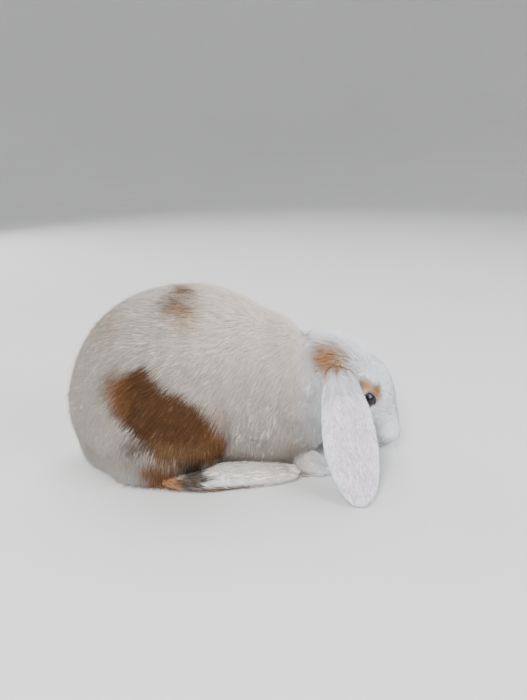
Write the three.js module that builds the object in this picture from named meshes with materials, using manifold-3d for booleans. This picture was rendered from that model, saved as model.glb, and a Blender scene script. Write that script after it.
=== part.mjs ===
// A lop-eared rabbit, life size, crouched on a flat floor with its head low and its ears hanging.
// Millimetres, +X towards the nose, +Y towards the rabbit's left, +Z up, floor at Z 0.
// The body is one smooth field of named round masses, met by rays from a line that runs through
// it. The feet, ears and tail are tubes along a named line. Thin cuts part it into its members.
import * as THREE from "three";
import { mergeVertices } from "three/addons/utils/BufferGeometryUtils.js";
import Module from "manifold-3d";

const wasm = await Module();
wasm.setup();
const { Manifold } = wasm;

// ---- driving dimensions -------------------------------------------------------------------

const GAP = 0.3; // clear space left between neighbouring members
const MERGE = 2e-3; // vertices closer than this are one
const HEAD_SHIFT = -5; // the head is carried this far to the rabbit's right of the middle
const FIELD_REACH = 160; // a ray from the inner line always leaves the body within this
const RAY_STEPS = 28; // a ray takes this many steps to its reach, to find where it leaves the body
const HALVINGS = 20; // the step that leaves the body is then halved this often
const RING_SIDES = 32; // points round the body
const RINGS = 41; // rings along the body, from rump to nose
const REAR_CAP = 0.22; // share of the rings that closes the rump
const FRONT_CAP = 0.16; // share of the rings that closes the muzzle

// Round masses of the body: middle, half sizes, nose-down tilt in degrees, and how widely each
// one melts into those before it. A paired mass stands on both sides of the body's middle.
const MASSES = [
  { name: "rump", at: [-81.5, 0, 62], half: [61, 47, 78.5], tilt: 21, blend: 25 },
  { name: "barrel", at: [-34.5, 0, 96.5], half: [76, 58, 62], tilt: -4, blend: 30 },
  { name: "belly", at: [-11.5, 0, 49], half: [72.5, 52.5, 43.5], tilt: 0, blend: 30 },
  { name: "chest", at: [36, 0, 70.5], half: [31.5, 37, 56], tilt: 11, blend: 30 },
  { name: "nape", at: [64, 0, 72.5], half: [31, 32.5, 33], tilt: 30, blend: 22 },
  { name: "thigh", at: [-59, 37.5, 44.5], half: [52, 28.5, 46.5], tilt: -10, blend: 20, paired: true },
  { name: "shoulder", at: [44.5, 23.5, 46], half: [36, 18, 34], tilt: 20, blend: 30, paired: true },
  { name: "skull", at: [96, 0, 80], half: [41.5, 29.5, 27.5], tilt: 39, blend: 14, head: true },
  { name: "face", at: [126, 0, 52], half: [39, 17, 16], tilt: 76, blend: 14, head: true },
  { name: "muzzle", at: [131.5, 0, 28.5], half: [17.5, 18, 13], tilt: 64, blend: 8, head: true },
  {
    name: "cheek",
    at: [102, 12, 49.5],
    half: [27.5, 17, 24.5],
    tilt: 53,
    blend: 14,
    head: true,
    paired: true,
  },
  { name: "jaw", at: [113.5, 0, 31.5], half: [23.5, 14, 13], tilt: 30, blend: 10, head: true },
  { name: "chin", at: [124, 0, 16.5], half: [12.5, 12, 10.5], tilt: 30, blend: 8, head: true },
];

// The line inside the body that the rays start from, with the tilt of the ring cast there.
const INNER_LINE = [
  { x: -80, z: 74, tilt: -8 },
  { x: -45, z: 80, tilt: 0 },
  { x: -10, z: 80, tilt: 0 },
  { x: 30, z: 70, tilt: 6 },
  { x: 65, z: 70, tilt: 16 },
  { x: 95, z: 68, tilt: 34 },
  { x: 122, z: 36, tilt: 56 },
];

// Members that are tubes along a line: x, y, z of the line, then half width and half height.
// They are written for the rabbit's right side, where y is below 0.
const HIND_FOOT = [
  [-60, -50, 9, 5, 5],
  [-54, -51.5, 9, 11.5, 9.5],
  [-28, -52.5, 8.5, 14, 11],
  [0, -49.5, 8.5, 14, 11],
  [26, -45.5, 8, 14.5, 10],
  [44, -42, 6.5, 13.5, 8.5],
  [53, -40, 5.5, 9.5, 6],
  [55.5, -39.5, 5, 2.5, 2.5],
];
const FORE_FOOT = [
  [42, -24, 30, 5, 5],
  [46, -25.5, 24, 10, 12],
  [57, -30, 13, 11, 12.5],
  [70, -35.5, 7.5, 11.5, 9],
  [80, -38, 6, 9, 6.5],
  [84, -38.5, 5, 2.5, 2.5],
];
const TAIL = [
  [-112, 3, 16, 4, 4],
  [-124, 3, 21, 14, 11],
  [-134, 4, 33, 16, 12.5],
  [-139, 5, 46, 13, 9.5],
  [-141.5, 5, 56, 4, 3],
];
// The ear adds how far its rims curl back, as a share of its half width.
const EAR = [
  [86, -22, 90, 7, 5, 0],
  [86, -31, 91.5, 11, 5.5, 0.05],
  [86.5, -40, 88, 14, 5, 0.15],
  [87.5, -47, 79.5, 17.5, 3.6, 0.25],
  [90, -53, 67.5, 20.5, 2.8, 0.22],
  [93, -61.5, 45, 22.5, 2.3, 0.15],
  [96, -68, 27.5, 20.2, 2, 0.1],
  [98.6, -73, 14, 16.2, 1.9, 0.06],
  [100.5, -76.6, 4.8, 10.8, 1.7, 0.03],
  [101.4, -78.2, 0.4, 4, 1.4, 0],
];
const EAR_OUTWARD = [0.1, -0.8, 0.6]; // the way the fur side looks, from base to tip
const TAIL_OUTWARD = [-1, 0, 0.4]; // the way the tail's back looks
const EYE = { at: [109, 24.5, 66.5], radius: 8.5, sides: 16, rings: 8 };
const DIRECTION_STEP = 0.002; // share of a tube's line that gives its direction at a point

// Cuts: a plane is given by a point and the tilt of its face from upright, in degrees.
const NECK_CUT = { x: 52, z: 70, lean: 31 };
const HEAD_CUT = { x: 80.5, z: 70, lean: 12.5 };
const CUT_REACH = 200; // every cutting block is this long, more than the rabbit
// The region of each upper leg, as a round cutter set into the body's side.
const HIND_LEG_REGION = { at: [-60, 46, 38], half: [58, 32, 54], tilt: -10 };
const FORE_LEG_REGION = { at: [46, 34, 32], half: [25, 20, 37], tilt: 12 };
const REGION = { sides: 12, rings: 6 }; // how finely those cutters are made

const WHITE = 0xd9d4ce;
const PINK_WHITE = 0xdccdd0;
const FUR_BROWN = 0x8d6f56;
const EYE_DARK = 0x16171c;

// ---- the field and its rays ---------------------------------------------------------------

const radians = (degrees) => (degrees * Math.PI) / 180;

// How far a point is from a tilted ellipsoid: below 0 inside, and close to millimetres outside.
function ellipsoidDistance(p, at, half, tilt) {
  const c = Math.cos(radians(tilt));
  const s = Math.sin(radians(tilt));
  const dx = p[0] - at[0];
  const dz = p[2] - at[2];
  const q = [c * dx - s * dz, p[1] - at[1], s * dx + c * dz];
  const k0 = Math.hypot(q[0] / half[0], q[1] / half[1], q[2] / half[2]);
  const k1 = Math.hypot(q[0] / half[0] ** 2, q[1] / half[1] ** 2, q[2] / half[2] ** 2);
  return (k0 * (k0 - 1)) / Math.max(k1, 1e-9);
}

function smoothMin(a, b, width) {
  const h = Math.max(width - Math.abs(a - b), 0) / width;
  return Math.min(a, b) - (h * h * width) / 4;
}

function bodyField(p) {
  let value = Infinity;
  for (const mass of MASSES) {
    const middle = mass.head ? HEAD_SHIFT : 0;
    for (const side of mass.paired ? [1, -1] : [1]) {
      const at = [mass.at[0], middle + side * mass.at[1], mass.at[2]];
      const d = ellipsoidDistance(p, at, mass.half, mass.tilt);
      value = value === Infinity ? d : smoothMin(value, d, mass.blend);
    }
  }
  return value;
}

// A smooth value through evenly spaced numbers, at t from 0 to 1 (Catmull-Rom).
function through(values, t) {
  const n = values.length - 1;
  const i = Math.min(Math.floor(Math.min(Math.max(t, 0), 1) * n), n - 1);
  const f = Math.min(Math.max(t, 0), 1) * n - i;
  const before = i > 0 ? values[i - 1] : 2 * values[0] - values[1];
  const after = i + 2 <= n ? values[i + 2] : 2 * values[n] - values[n - 1];
  const [p1, p2] = [values[i], values[i + 1]];
  return (
    0.5 *
    (2 * p1 + (p2 - before) * f + (2 * before - 5 * p1 + 4 * p2 - after) * f ** 2 +
      (3 * p1 - before - 3 * p2 + after) * f ** 3)
  );
}

// The place on the body's surface at u round it and v along it, both from 0 to 1. The rays stand
// square to the inner line along its length and turn to point along it over the two caps.
function bodyPoint(u, v) {
  const along = Math.min(Math.max((v - REAR_CAP) / (1 - REAR_CAP - FRONT_CAP), 0), 1);
  const x = through(INNER_LINE.map((s) => s.x), along);
  const z = through(INNER_LINE.map((s) => s.z), along);
  const tilt = radians(through(INNER_LINE.map((s) => s.tilt), along));
  let turn = Math.PI / 2;
  if (v < REAR_CAP) turn = (Math.PI / 2) * (2 - v / REAR_CAP);
  if (v > 1 - FRONT_CAP) turn = ((Math.PI / 2) * (1 - v)) / FRONT_CAP;
  const forward = Math.cos(turn);
  const up = Math.sin(turn) * Math.cos(2 * Math.PI * u);
  const left = Math.sin(turn) * Math.sin(2 * Math.PI * u);
  const ray = [
    forward * Math.cos(tilt) + up * Math.sin(tilt),
    left,
    up * Math.cos(tilt) - forward * Math.sin(tilt),
  ];
  const place = (r) => [x + r * ray[0], r * ray[1], z + r * ray[2]];
  const step = FIELD_REACH / RAY_STEPS;
  let outside = step;
  while (outside < FIELD_REACH && bodyField(place(outside)) < 0) outside += step;
  let inside = outside - step;
  for (let i = 0; i < HALVINGS; i++) {
    const middle = (inside + outside) / 2;
    if (bodyField(place(middle)) < 0) inside = middle;
    else outside = middle;
  }
  return place(outside);
}

// ---- closed surfaces ----------------------------------------------------------------------

// A solid from a closed geometry, for joining and cutting.
function solidOf(geometry) {
  geometry.deleteAttribute("normal");
  geometry.deleteAttribute("uv");
  const merged = mergeVertices(geometry, MERGE);
  return new Manifold(
    new wasm.Mesh({
      numProp: 3,
      vertProperties: merged.attributes.position.array,
      triVerts: new Uint32Array(merged.index.array),
    }),
  );
}

// The geometry of a solid, its vertices closer than MERGE joined.
function geometryOf(solid) {
  const mesh = solid.getMesh();
  const geometry = new THREE.BufferGeometry();
  geometry.setAttribute("position", new THREE.BufferAttribute(new Float32Array(mesh.vertProperties), 3));
  geometry.setIndex(new THREE.BufferAttribute(new Uint32Array(mesh.triVerts), 1));
  return mergeVertices(geometry, MERGE);
}

// A closed solid from rings of points. The first and last rings have shrunk to a point.
function solidOfRings(rings) {
  const sides = rings[0].length;
  const points = [rings[0][0], ...rings.slice(1, -1).flat(), rings.at(-1)[0]];
  const last = points.length - 1;
  const place = (ring, side) => 1 + (ring - 1) * sides + (side % sides);
  const triangles = [];
  for (let side = 0; side < sides; side++) {
    triangles.push([0, place(1, side + 1), place(1, side)]);
    triangles.push([last, place(rings.length - 2, side), place(rings.length - 2, side + 1)]);
    for (let ring = 1; ring < rings.length - 2; ring++) {
      const [a, b] = [place(ring, side), place(ring, side + 1)];
      const [c, d] = [place(ring + 1, side + 1), place(ring + 1, side)];
      triangles.push([a, b, c], [a, c, d]);
    }
  }
  const make = (list) => {
    const geometry = new THREE.BufferGeometry();
    geometry.setAttribute("position", new THREE.BufferAttribute(new Float32Array(points.flat()), 3));
    geometry.setIndex(list.flat());
    return solidOf(geometry);
  };
  const solid = make(triangles);
  return solid.volume() > 0 ? solid : make(triangles.map(([a, b, c]) => [a, c, b]));
}

function bodySolid() {
  const rings = [];
  for (let i = 0; i < RINGS; i++) {
    const ring = [];
    for (let j = 0; j < RING_SIDES; j++) ring.push(bodyPoint(j / RING_SIDES, i / (RINGS - 1)));
    rings.push(ring);
  }
  return solidOfRings(rings);
}

// A tube along a line of rows [x, y, z, half width, half height, curl]. Its width lies across
// the direction `facing`, its height along it, and `grow` thickens it everywhere. The rows are
// the right side's, and `side` 1 mirrors the tube in the plane y = `middle`.
function tubeSolid(rows, { sides, rings, facing, grow = 0, side = -1, middle: mirror = 0 }) {
  const at = (column, t) => through(rows.map((row) => row[column] ?? 0), t);
  const middle = (t) => new THREE.Vector3(at(0, t), at(1, t), at(2, t));
  const made = [];
  for (let i = 0; i < rings; i++) {
    const t = i / (rings - 1);
    const before = middle(Math.max(t - DIRECTION_STEP, 0));
    const ahead = middle(Math.min(t + DIRECTION_STEP, 1)).sub(before).normalize();
    const over = new THREE.Vector3(...facing);
    over.addScaledVector(ahead, -over.dot(ahead)).normalize();
    const across = new THREE.Vector3().crossVectors(ahead, over);
    const end = i === 0 || i === rings - 1;
    const width = end ? 0 : at(3, t) + grow;
    const height = end ? 0 : at(4, t) + grow;
    const centre = middle(t).addScaledVector(ahead, i === 0 ? -2 * grow : end ? 2 * grow : 0);
    const ring = [];
    for (let j = 0; j < sides; j++) {
      const angle = (2 * Math.PI * j) / sides;
      const a = width * Math.cos(angle);
      const curl = end ? 0 : (at(5, t) * a * a) / width;
      const b = height * Math.sin(angle) - curl;
      const p = centre.clone().addScaledVector(across, a).addScaledVector(over, b);
      ring.push([p.x, side < 0 ? p.y : 2 * mirror - p.y, p.z]);
    }
    made.push(ring);
  }
  return solidOfRings(made);
}

// The round cutter of an upper leg on one side of the body.
function regionSolid({ at, half, tilt }, side, grow) {
  const [a, b, c] = half.map((h) => h + grow);
  return solidOf(
    new THREE.SphereGeometry(1, REGION.sides, REGION.rings)
      .scale(a, b, c)
      .rotateY(radians(tilt))
      .translate(at[0], side * at[1], at[2]),
  );
}

// The block of space in front of a leaning plane, moved forward by `ahead`.
function inFrontOf({ x, z, lean }, ahead) {
  return solidOf(
    new THREE.BoxGeometry(CUT_REACH, 2 * CUT_REACH, 2 * CUT_REACH)
      .translate(CUT_REACH / 2, 0, 0)
      .rotateY(radians(-lean))
      .translate(x + ahead / Math.cos(radians(lean)), 0, z),
  );
}

const aboveFloor = (solid) => solid.trimByPlane([0, 0, 1], 0);

// ---- the members --------------------------------------------------------------------------

const SIDES = [
  { side: -1, tag: "right" },
  { side: 1, tag: "left" },
];

const UP = [0, 0, 1];
const hindFoot = (grow, side) =>
  tubeSolid(HIND_FOOT, { sides: 14, rings: 12, facing: UP, grow, side });
const foreFoot = (grow, side) =>
  tubeSolid(FORE_FOOT, { sides: 12, rings: 10, facing: UP, grow, side });
const tail = (grow) => tubeSolid(TAIL, { sides: 12, rings: 8, facing: TAIL_OUTWARD, grow });
const ear = (grow, side) =>
  tubeSolid(EAR, { sides: 16, rings: 15, facing: EAR_OUTWARD, grow, side, middle: HEAD_SHIFT });
const eye = (grow, side) =>
  solidOf(
    new THREE.SphereGeometry(EYE.radius + grow, EYE.sides, EYE.rings).translate(
      EYE.at[0],
      HEAD_SHIFT + side * EYE.at[1],
      EYE.at[2],
    ),
  );

const members = []; // name, solid and colour of each node
const add = (name, solid, colour, roughness = 0.95) => members.push({ name, solid, colour, roughness });

let flesh = aboveFloor(bodySolid());
flesh = flesh.subtract(tail(GAP));
for (const { side } of SIDES) {
  for (const member of [hindFoot, foreFoot, ear, eye]) flesh = flesh.subtract(member(GAP, side));
}

const head = flesh.intersect(inFrontOf(HEAD_CUT, GAP / 2));
let behindHead = flesh.subtract(inFrontOf(HEAD_CUT, -GAP / 2));
for (const { side, tag } of SIDES) {
  for (const [name, region, colour] of [
    ["hind_leg_", HIND_LEG_REGION, side < 0 ? FUR_BROWN : WHITE],
    ["fore_leg_", FORE_LEG_REGION, WHITE],
  ]) {
    const inside = regionSolid(region, side, -GAP / 2);
    const outside = regionSolid(region, side, GAP / 2);
    add(name + tag, behindHead.intersect(inside), colour);
    behindHead = behindHead.subtract(outside);
  }
}
add("head", head, WHITE);
add("neck", behindHead.intersect(inFrontOf(NECK_CUT, GAP / 2)), WHITE);
add("trunk", behindHead.subtract(inFrontOf(NECK_CUT, -GAP / 2)), WHITE);
add("tail", aboveFloor(tail(0)), WHITE);
for (const { side, tag } of SIDES) {
  add("hind_foot_" + tag, aboveFloor(hindFoot(0, side)), WHITE);
  add("fore_foot_" + tag, aboveFloor(foreFoot(0, side).subtract(hindFoot(GAP, side))), WHITE);
  add("ear_" + tag, aboveFloor(ear(0, side)), PINK_WHITE);
  add("eye_" + tag, eye(0, side), EYE_DARK, 0.08);
}

// ---- the scene ----------------------------------------------------------------------------

// The biggest closed piece of a solid: cuts at a shallow angle can shed slivers.
function mainPiece(solid) {
  const pieces = solidOf(geometryOf(solid)).decompose();
  return pieces.sort((a, b) => b.volume() - a.volume())[0];
}

function meshOf({ name, solid, colour, roughness }) {
  const material = new THREE.MeshStandardMaterial({ color: colour, roughness, metalness: 0 });
  const mesh = new THREE.Mesh(geometryOf(mainPiece(solid)), material);
  mesh.name = name;
  return mesh;
}

const group = new THREE.Group();
for (const member of members) group.add(meshOf(member));

// The part's origin is the middle of its bounding box, on the floor.
const box = new THREE.Box3().setFromObject(group);
group.position.set(-(box.min.x + box.max.x) / 2, -(box.min.y + box.max.y) / 2, -box.min.z);

export default group;
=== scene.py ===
"""A life-size lop-eared rabbit, crouched with its head low and its ears hanging to the floor.

The skin is one smooth field of named round masses, met by rays from a line inside the body, with
tubes along named lines for the ears, feet and tail. The coat is made of many thin closed tufts
that are rooted on the skin, lie along the flow of the hair and end at the solids' own surface.
"""

import math

import bpy
import numpy as np
from mathutils import Matrix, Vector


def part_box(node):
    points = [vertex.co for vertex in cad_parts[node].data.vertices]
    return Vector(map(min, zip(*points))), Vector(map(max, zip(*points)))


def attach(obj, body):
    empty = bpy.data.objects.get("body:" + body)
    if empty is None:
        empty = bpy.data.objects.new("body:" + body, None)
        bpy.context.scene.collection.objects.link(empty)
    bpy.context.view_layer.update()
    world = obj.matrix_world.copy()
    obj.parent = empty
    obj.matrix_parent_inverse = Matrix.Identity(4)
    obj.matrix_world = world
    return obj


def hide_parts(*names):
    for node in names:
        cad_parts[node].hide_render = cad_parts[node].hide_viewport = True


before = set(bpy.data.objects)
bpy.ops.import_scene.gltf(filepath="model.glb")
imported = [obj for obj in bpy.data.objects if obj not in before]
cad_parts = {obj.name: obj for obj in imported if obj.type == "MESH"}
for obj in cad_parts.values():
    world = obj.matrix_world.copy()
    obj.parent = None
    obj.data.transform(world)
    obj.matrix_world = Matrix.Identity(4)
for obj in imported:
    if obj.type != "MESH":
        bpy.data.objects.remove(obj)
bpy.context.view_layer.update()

# ---- driving sizes, in metres, in the rabbit's own frame ------------------------------------

HEAD_SHIFT = -0.005  # the head is carried this far to the rabbit's right
EYE_AT = (0.109, 0.0245, 0.0665)  # from the head's own middle plane
EYE_RADIUS = 0.0085
FIELD_REACH = 0.16  # a ray from the inner line leaves the body within this
RAY_STEPS, HALVINGS = 24, 14  # steps out along a ray, then halvings of the one that leaves it
FIELD_STEP = 0.0004  # for slopes of the field
LINE_STEP = 0.002  # for the direction of a tube's line, as a share of it
THINNEST = 0.0004  # half width that a tube keeps under its coat
END_ROUNDING = 0.02  # share of a tube's line over which each end closes
TINY = 1e-12
REAR_CAP = 0.22  # share of the rings that closes the rump
FRONT_CAP = 0.16  # share of the rings that closes the muzzle

ONE, BOTH = (1,), (1, -1)  # a mass in the middle, or one on each side of it
# Round masses: middle, half sizes, nose-down tilt in degrees, width of the blend into those before,
# its sides, and the upright plane that is its middle (the head has its own).
MASSES = dict(
    rump=((-0.0815, 0, 0.062), (0.061, 0.047, 0.0785), 21, 0.025, ONE, 0.0),
    barrel=((-0.0345, 0, 0.0965), (0.076, 0.058, 0.062), -4, 0.03, ONE, 0.0),
    belly=((-0.0115, 0, 0.049), (0.0725, 0.0525, 0.0435), 0, 0.03, ONE, 0.0),
    chest=((0.036, 0, 0.0705), (0.0315, 0.037, 0.056), 11, 0.03, ONE, 0.0),
    nape=((0.064, 0, 0.0725), (0.031, 0.0325, 0.033), 30, 0.022, ONE, 0.0),
    thigh=((-0.059, 0.0375, 0.0445), (0.052, 0.0285, 0.0465), -10, 0.02, BOTH, 0.0),
    shoulder=((0.0445, 0.0235, 0.046), (0.036, 0.018, 0.034), 20, 0.03, BOTH, 0.0),
    skull=((0.096, 0, 0.08), (0.0415, 0.0295, 0.0275), 39, 0.014, ONE, HEAD_SHIFT),
    face=((0.126, 0, 0.052), (0.039, 0.017, 0.016), 76, 0.014, ONE, HEAD_SHIFT),
    muzzle=((0.1315, 0, 0.0285), (0.0175, 0.018, 0.013), 64, 0.008, ONE, HEAD_SHIFT),
    cheek=((0.102, 0.012, 0.0495), (0.0275, 0.017, 0.0245), 53, 0.014, BOTH, HEAD_SHIFT),
    jaw=((0.1135, 0, 0.0315), (0.0235, 0.014, 0.013), 30, 0.01, ONE, HEAD_SHIFT),
    chin=((0.124, 0, 0.0165), (0.0125, 0.012, 0.0105), 30, 0.008, ONE, HEAD_SHIFT),
)
# The line inside the body that rays start from: x, z and the tilt of the ring cast there.
INNER_LINE = np.array([
    (-0.080, 0.074, -8),
    (-0.045, 0.080, 0),
    (-0.010, 0.080, 0),
    (0.030, 0.070, 6),
    (0.065, 0.070, 16),
    (0.095, 0.068, 34),
    (0.122, 0.036, 56),
])
# Tubes: x, y, z of the line, half width, half height, and how far the rims curl back.
# They are the rabbit's right members, where y is below 0.
HIND_FOOT = np.array([
    (-0.060, -0.050, 0.009, 0.005, 0.005, 0),
    (-0.054, -0.0515, 0.009, 0.0115, 0.0095, 0),
    (-0.028, -0.0525, 0.0085, 0.014, 0.011, 0),
    (0.000, -0.0495, 0.0085, 0.014, 0.011, 0),
    (0.026, -0.0455, 0.008, 0.0145, 0.010, 0),
    (0.044, -0.042, 0.0065, 0.0135, 0.0085, 0),
    (0.053, -0.040, 0.0055, 0.0095, 0.006, 0),
    (0.0555, -0.0395, 0.005, 0.0025, 0.0025, 0),
])
FORE_FOOT = np.array([
    (0.042, -0.024, 0.030, 0.005, 0.005, 0),
    (0.046, -0.0255, 0.024, 0.010, 0.012, 0),
    (0.057, -0.030, 0.013, 0.011, 0.0125, 0),
    (0.070, -0.0355, 0.0075, 0.0115, 0.009, 0),
    (0.080, -0.038, 0.006, 0.009, 0.0065, 0),
    (0.084, -0.0385, 0.005, 0.0025, 0.0025, 0),
])
TAIL = np.array([
    (-0.112, 0.003, 0.016, 0.004, 0.004, 0),
    (-0.124, 0.003, 0.021, 0.014, 0.011, 0),
    (-0.134, 0.004, 0.033, 0.016, 0.0125, 0),
    (-0.139, 0.005, 0.046, 0.013, 0.0095, 0),
    (-0.1415, 0.005, 0.056, 0.004, 0.003, 0),
])
EAR = np.array([
    (0.086, -0.022, 0.090, 0.007, 0.005, 0),
    (0.086, -0.031, 0.0915, 0.011, 0.0055, 0.05),
    (0.0865, -0.040, 0.088, 0.014, 0.005, 0.15),
    (0.0875, -0.047, 0.0795, 0.0175, 0.0036, 0.25),
    (0.090, -0.053, 0.0675, 0.0205, 0.0028, 0.22),
    (0.093, -0.0615, 0.045, 0.0225, 0.0023, 0.15),
    (0.096, -0.068, 0.0275, 0.0202, 0.002, 0.1),
    (0.0986, -0.073, 0.014, 0.0162, 0.0019, 0.06),
    (0.1005, -0.0766, 0.0048, 0.0100, 0.0017, 0.03),
    (0.1014, -0.0782, 0.0010, 0.0022, 0.0014, 0),
])
UP = (0.0, 0.0, 1.0)
TAIL_FACING = (-1.0, 0.0, 0.4)
EAR_FACING = (0.1, -0.8, 0.6)

# The row's frame puts the bounding box's middle at the origin: the eye tells by how much.
EYE_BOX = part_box("eye_right")
ROW_SHIFT = np.array([
    (EYE_BOX[0][0] + EYE_BOX[1][0]) / 2 - EYE_AT[0],
    (EYE_BOX[0][1] + EYE_BOX[1][1]) / 2 - (HEAD_SHIFT - EYE_AT[1]),
    0.0,
])

# ---- the field ------------------------------------------------------------------------------


def smooth_step(low, high, x):
    """0 below low, 1 above high, and 3t^2 - 2t^3 between."""
    t = np.clip((x - low) / (high - low), 0, 1)
    return t * t * (3 - 2 * t)


def unit(v):
    """Vectors made one long."""
    return v / np.maximum(np.linalg.norm(v, axis=-1, keepdims=True), TINY)


def tilted(p, at, tilt):
    """Points seen from a middle, turned back by a nose-down tilt in degrees."""
    c, s = math.cos(math.radians(tilt)), math.sin(math.radians(tilt))
    x, y, z = p[..., 0] - at[0], p[..., 1] - at[1], p[..., 2] - at[2]
    return np.stack([c * x - s * z, y, s * x + c * z], -1)


def body_field(p):
    """Near distance to the coat's surface: ellipsoids k0(k0-1)/k1, joined by a smooth least."""
    value = None
    for (x, y, z), half, tilt, blend, sides, middle in MASSES.values():
        for side in sides:
            q = tilted(p, (x, middle + side * y, z), tilt) / half
            k0 = np.linalg.norm(q, axis=-1)
            k1 = np.linalg.norm(q / half, axis=-1)
            d = k0 * (k0 - 1) / np.maximum(k1, TINY)
            if value is None:
                value = d
                continue
            near = np.maximum(blend - np.abs(value - d), 0) / blend
            value = np.minimum(value, d) - near * near * blend / 4
    return value


def field_gradient(p, field):
    """Central differences of the field along the three axes."""
    parts = []
    for step in np.eye(3) * FIELD_STEP:
        parts.append((field(p + step) - field(p - step)) / (2 * FIELD_STEP))
    return np.stack(parts, -1)


FACE_TOP = np.array([0.088, HEAD_SHIFT, 0.108])
FACE_WAY = unit(np.array([0.058, 0.0, -0.090]))
FACE_LENGTH = 0.107
FACE_FADES = (0.02, 0.42)  # shares of the face's length between which the coat thins
HEAD_FRONT, HEAD_LEAN, HEAD_HEIGHT = (0.075, 0.10), 0.18, 0.09  # a leaning plane behind the face


def face_share(p):
    """0 at the crown and behind it, 1 from the eyes to the nose."""
    along = ((p - FACE_TOP) @ FACE_WAY) / FACE_LENGTH
    ahead = smooth_step(*HEAD_FRONT, p[..., 0] + HEAD_LEAN * (HEAD_HEIGHT - p[..., 2]))
    return smooth_step(*FACE_FADES, along) * ahead


COAT_DEPTH = dict(body=0.0068, face=0.0024, muzzle=0.0014, floor=0.0035)
NOSE_AT = np.array([0.1475, HEAD_SHIFT, 0.0265])
MUZZLE_REACH = (0.030, 0.008)  # distances from the nose between which the coat is thinnest
FLOOR_REACH = (0.02, 0.004)  # heights between which the coat is pressed flat


def coat_depth(p):
    """Depth of the coat: thick on the body, thin on the face, thinnest round the nose."""
    depth = COAT_DEPTH["body"] + (COAT_DEPTH["face"] - COAT_DEPTH["body"]) * face_share(p)
    near_nose = smooth_step(*MUZZLE_REACH, np.linalg.norm(p - NOSE_AT, axis=-1))
    depth = depth + (COAT_DEPTH["muzzle"] - depth) * near_nose
    near_floor = smooth_step(*FLOOR_REACH, p[..., 2])
    return depth + (np.minimum(depth, COAT_DEPTH["floor"]) - depth) * near_floor


# The crease where the haunch overlaps the flank, seen from the side: an arc of a circle.
HAUNCH_CREASE = dict(x=-0.052, z=0.046, radius=0.049, width=0.0045, depth=0.0032,
                     sides=(0.030, 0.045), ahead=(0.020, 0.040), low=(0.030, -0.005))


def haunch_crease(p):
    """A soft groove along the front of an arc, on both flanks and only low down."""
    crease = HAUNCH_CREASE
    dx, dz = p[..., 0] - crease["x"], p[..., 2] - crease["z"]
    off = np.hypot(dx, dz) - crease["radius"]
    on_side = smooth_step(*crease["sides"], np.abs(p[..., 1]))
    ahead = smooth_step(*crease["ahead"], dx) * smooth_step(*crease["low"], dz)
    return crease["depth"] * np.exp(-(off / crease["width"]) ** 2) * on_side * ahead


def stroke(y, s, start, end, width):
    """1 on a straight stroke in the nose's own plane, falling away over its width."""
    a, b = np.array(start), np.array(end)
    t = np.clip(((y - a[0]) * (b - a)[0] + (s - a[1]) * (b - a)[1]) / ((b - a) @ (b - a)), 0, 1)
    far = np.hypot(y - a[0] - t * (b - a)[0], s - a[1] - t * (b - a)[1])
    return np.exp(-((far / width) ** 2))


# Strokes of the nose and mouth: start and end (out from the middle, up the face), width, depth.
FACE_STROKES = dict(
    nostril=((0.0012, 0.0005), (0.0062, 0.0052), 0.0009, 0.0020),
    cleft=((0.0, -0.0005), (0.0, -0.0125), 0.0008, 0.0014),
    lip=((0.0, -0.0125), (0.0095, -0.0165), 0.0010, 0.0018),
    corner=((0.0095, -0.0165), (0.0165, -0.0125), 0.0011, 0.0012),
)
STROKES_UP = 0.004  # the strokes' own zero is this far over the nose's middle
STROKES_FRONT = (0.112, 0.126)  # they cut only ahead of here


def nose_strokes(p):
    """How deep each of the nose's and mouth's strokes cuts, and how much of a stroke a place is."""
    y = np.abs(p[..., 1] - HEAD_SHIFT)
    s = p[..., 2] - NOSE_AT[2] - STROKES_UP
    front = smooth_step(*STROKES_FRONT, p[..., 0])
    depth = np.zeros(y.shape)
    share = np.zeros(y.shape)
    for start, end, width, cut in FACE_STROKES.values():
        on = stroke(y, s, start, end, width) * front
        depth = np.maximum(depth, cut * on)
        share = np.maximum(share, on)
    return depth, share


PAD = dict(at=(0.138, 0.0125, 0.0265), reach=0.0085, rise=0.0030)  # a whisker pad


def on_one_side(p):
    """Places of the head with both its sides folded onto the left, from its middle plane."""
    return np.stack([p[..., 0], np.abs(p[..., 1] - HEAD_SHIFT), p[..., 2]], -1)


def whisker_pads(p):
    """A round rise on each side of the nose: rise * e^-(distance / reach)^2."""
    near = on_one_side(p) - PAD["at"]
    return PAD["rise"] * np.exp(-(near * near).sum(-1) / PAD["reach"] ** 2)


SOCKET = dict(rise=0.0034, reach=0.0050)  # the mound of the lids round an eye


def eye_mounds(p):
    """A ring of flesh round each eyeball: rise * e^-(distance from its surface / reach)^2."""
    far = np.linalg.norm(on_one_side(p) - EYE_AT, axis=-1) - EYE_RADIUS
    return SOCKET["rise"] * np.exp(-((far / SOCKET["reach"]) ** 2))


def coat_field(p):
    """The body's field with its folds, whisker pads and eye mounds: 0 on the coat's surface."""
    raised = whisker_pads(p) + eye_mounds(p)
    return body_field(p) + haunch_crease(p) + nose_strokes(p)[0] - raised


def skin_field(p):
    """The coat's field raised by the coat's depth: 0 on the skin."""
    return coat_field(p) + coat_depth(p)


# ---- surfaces of two parameters -------------------------------------------------------------


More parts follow.
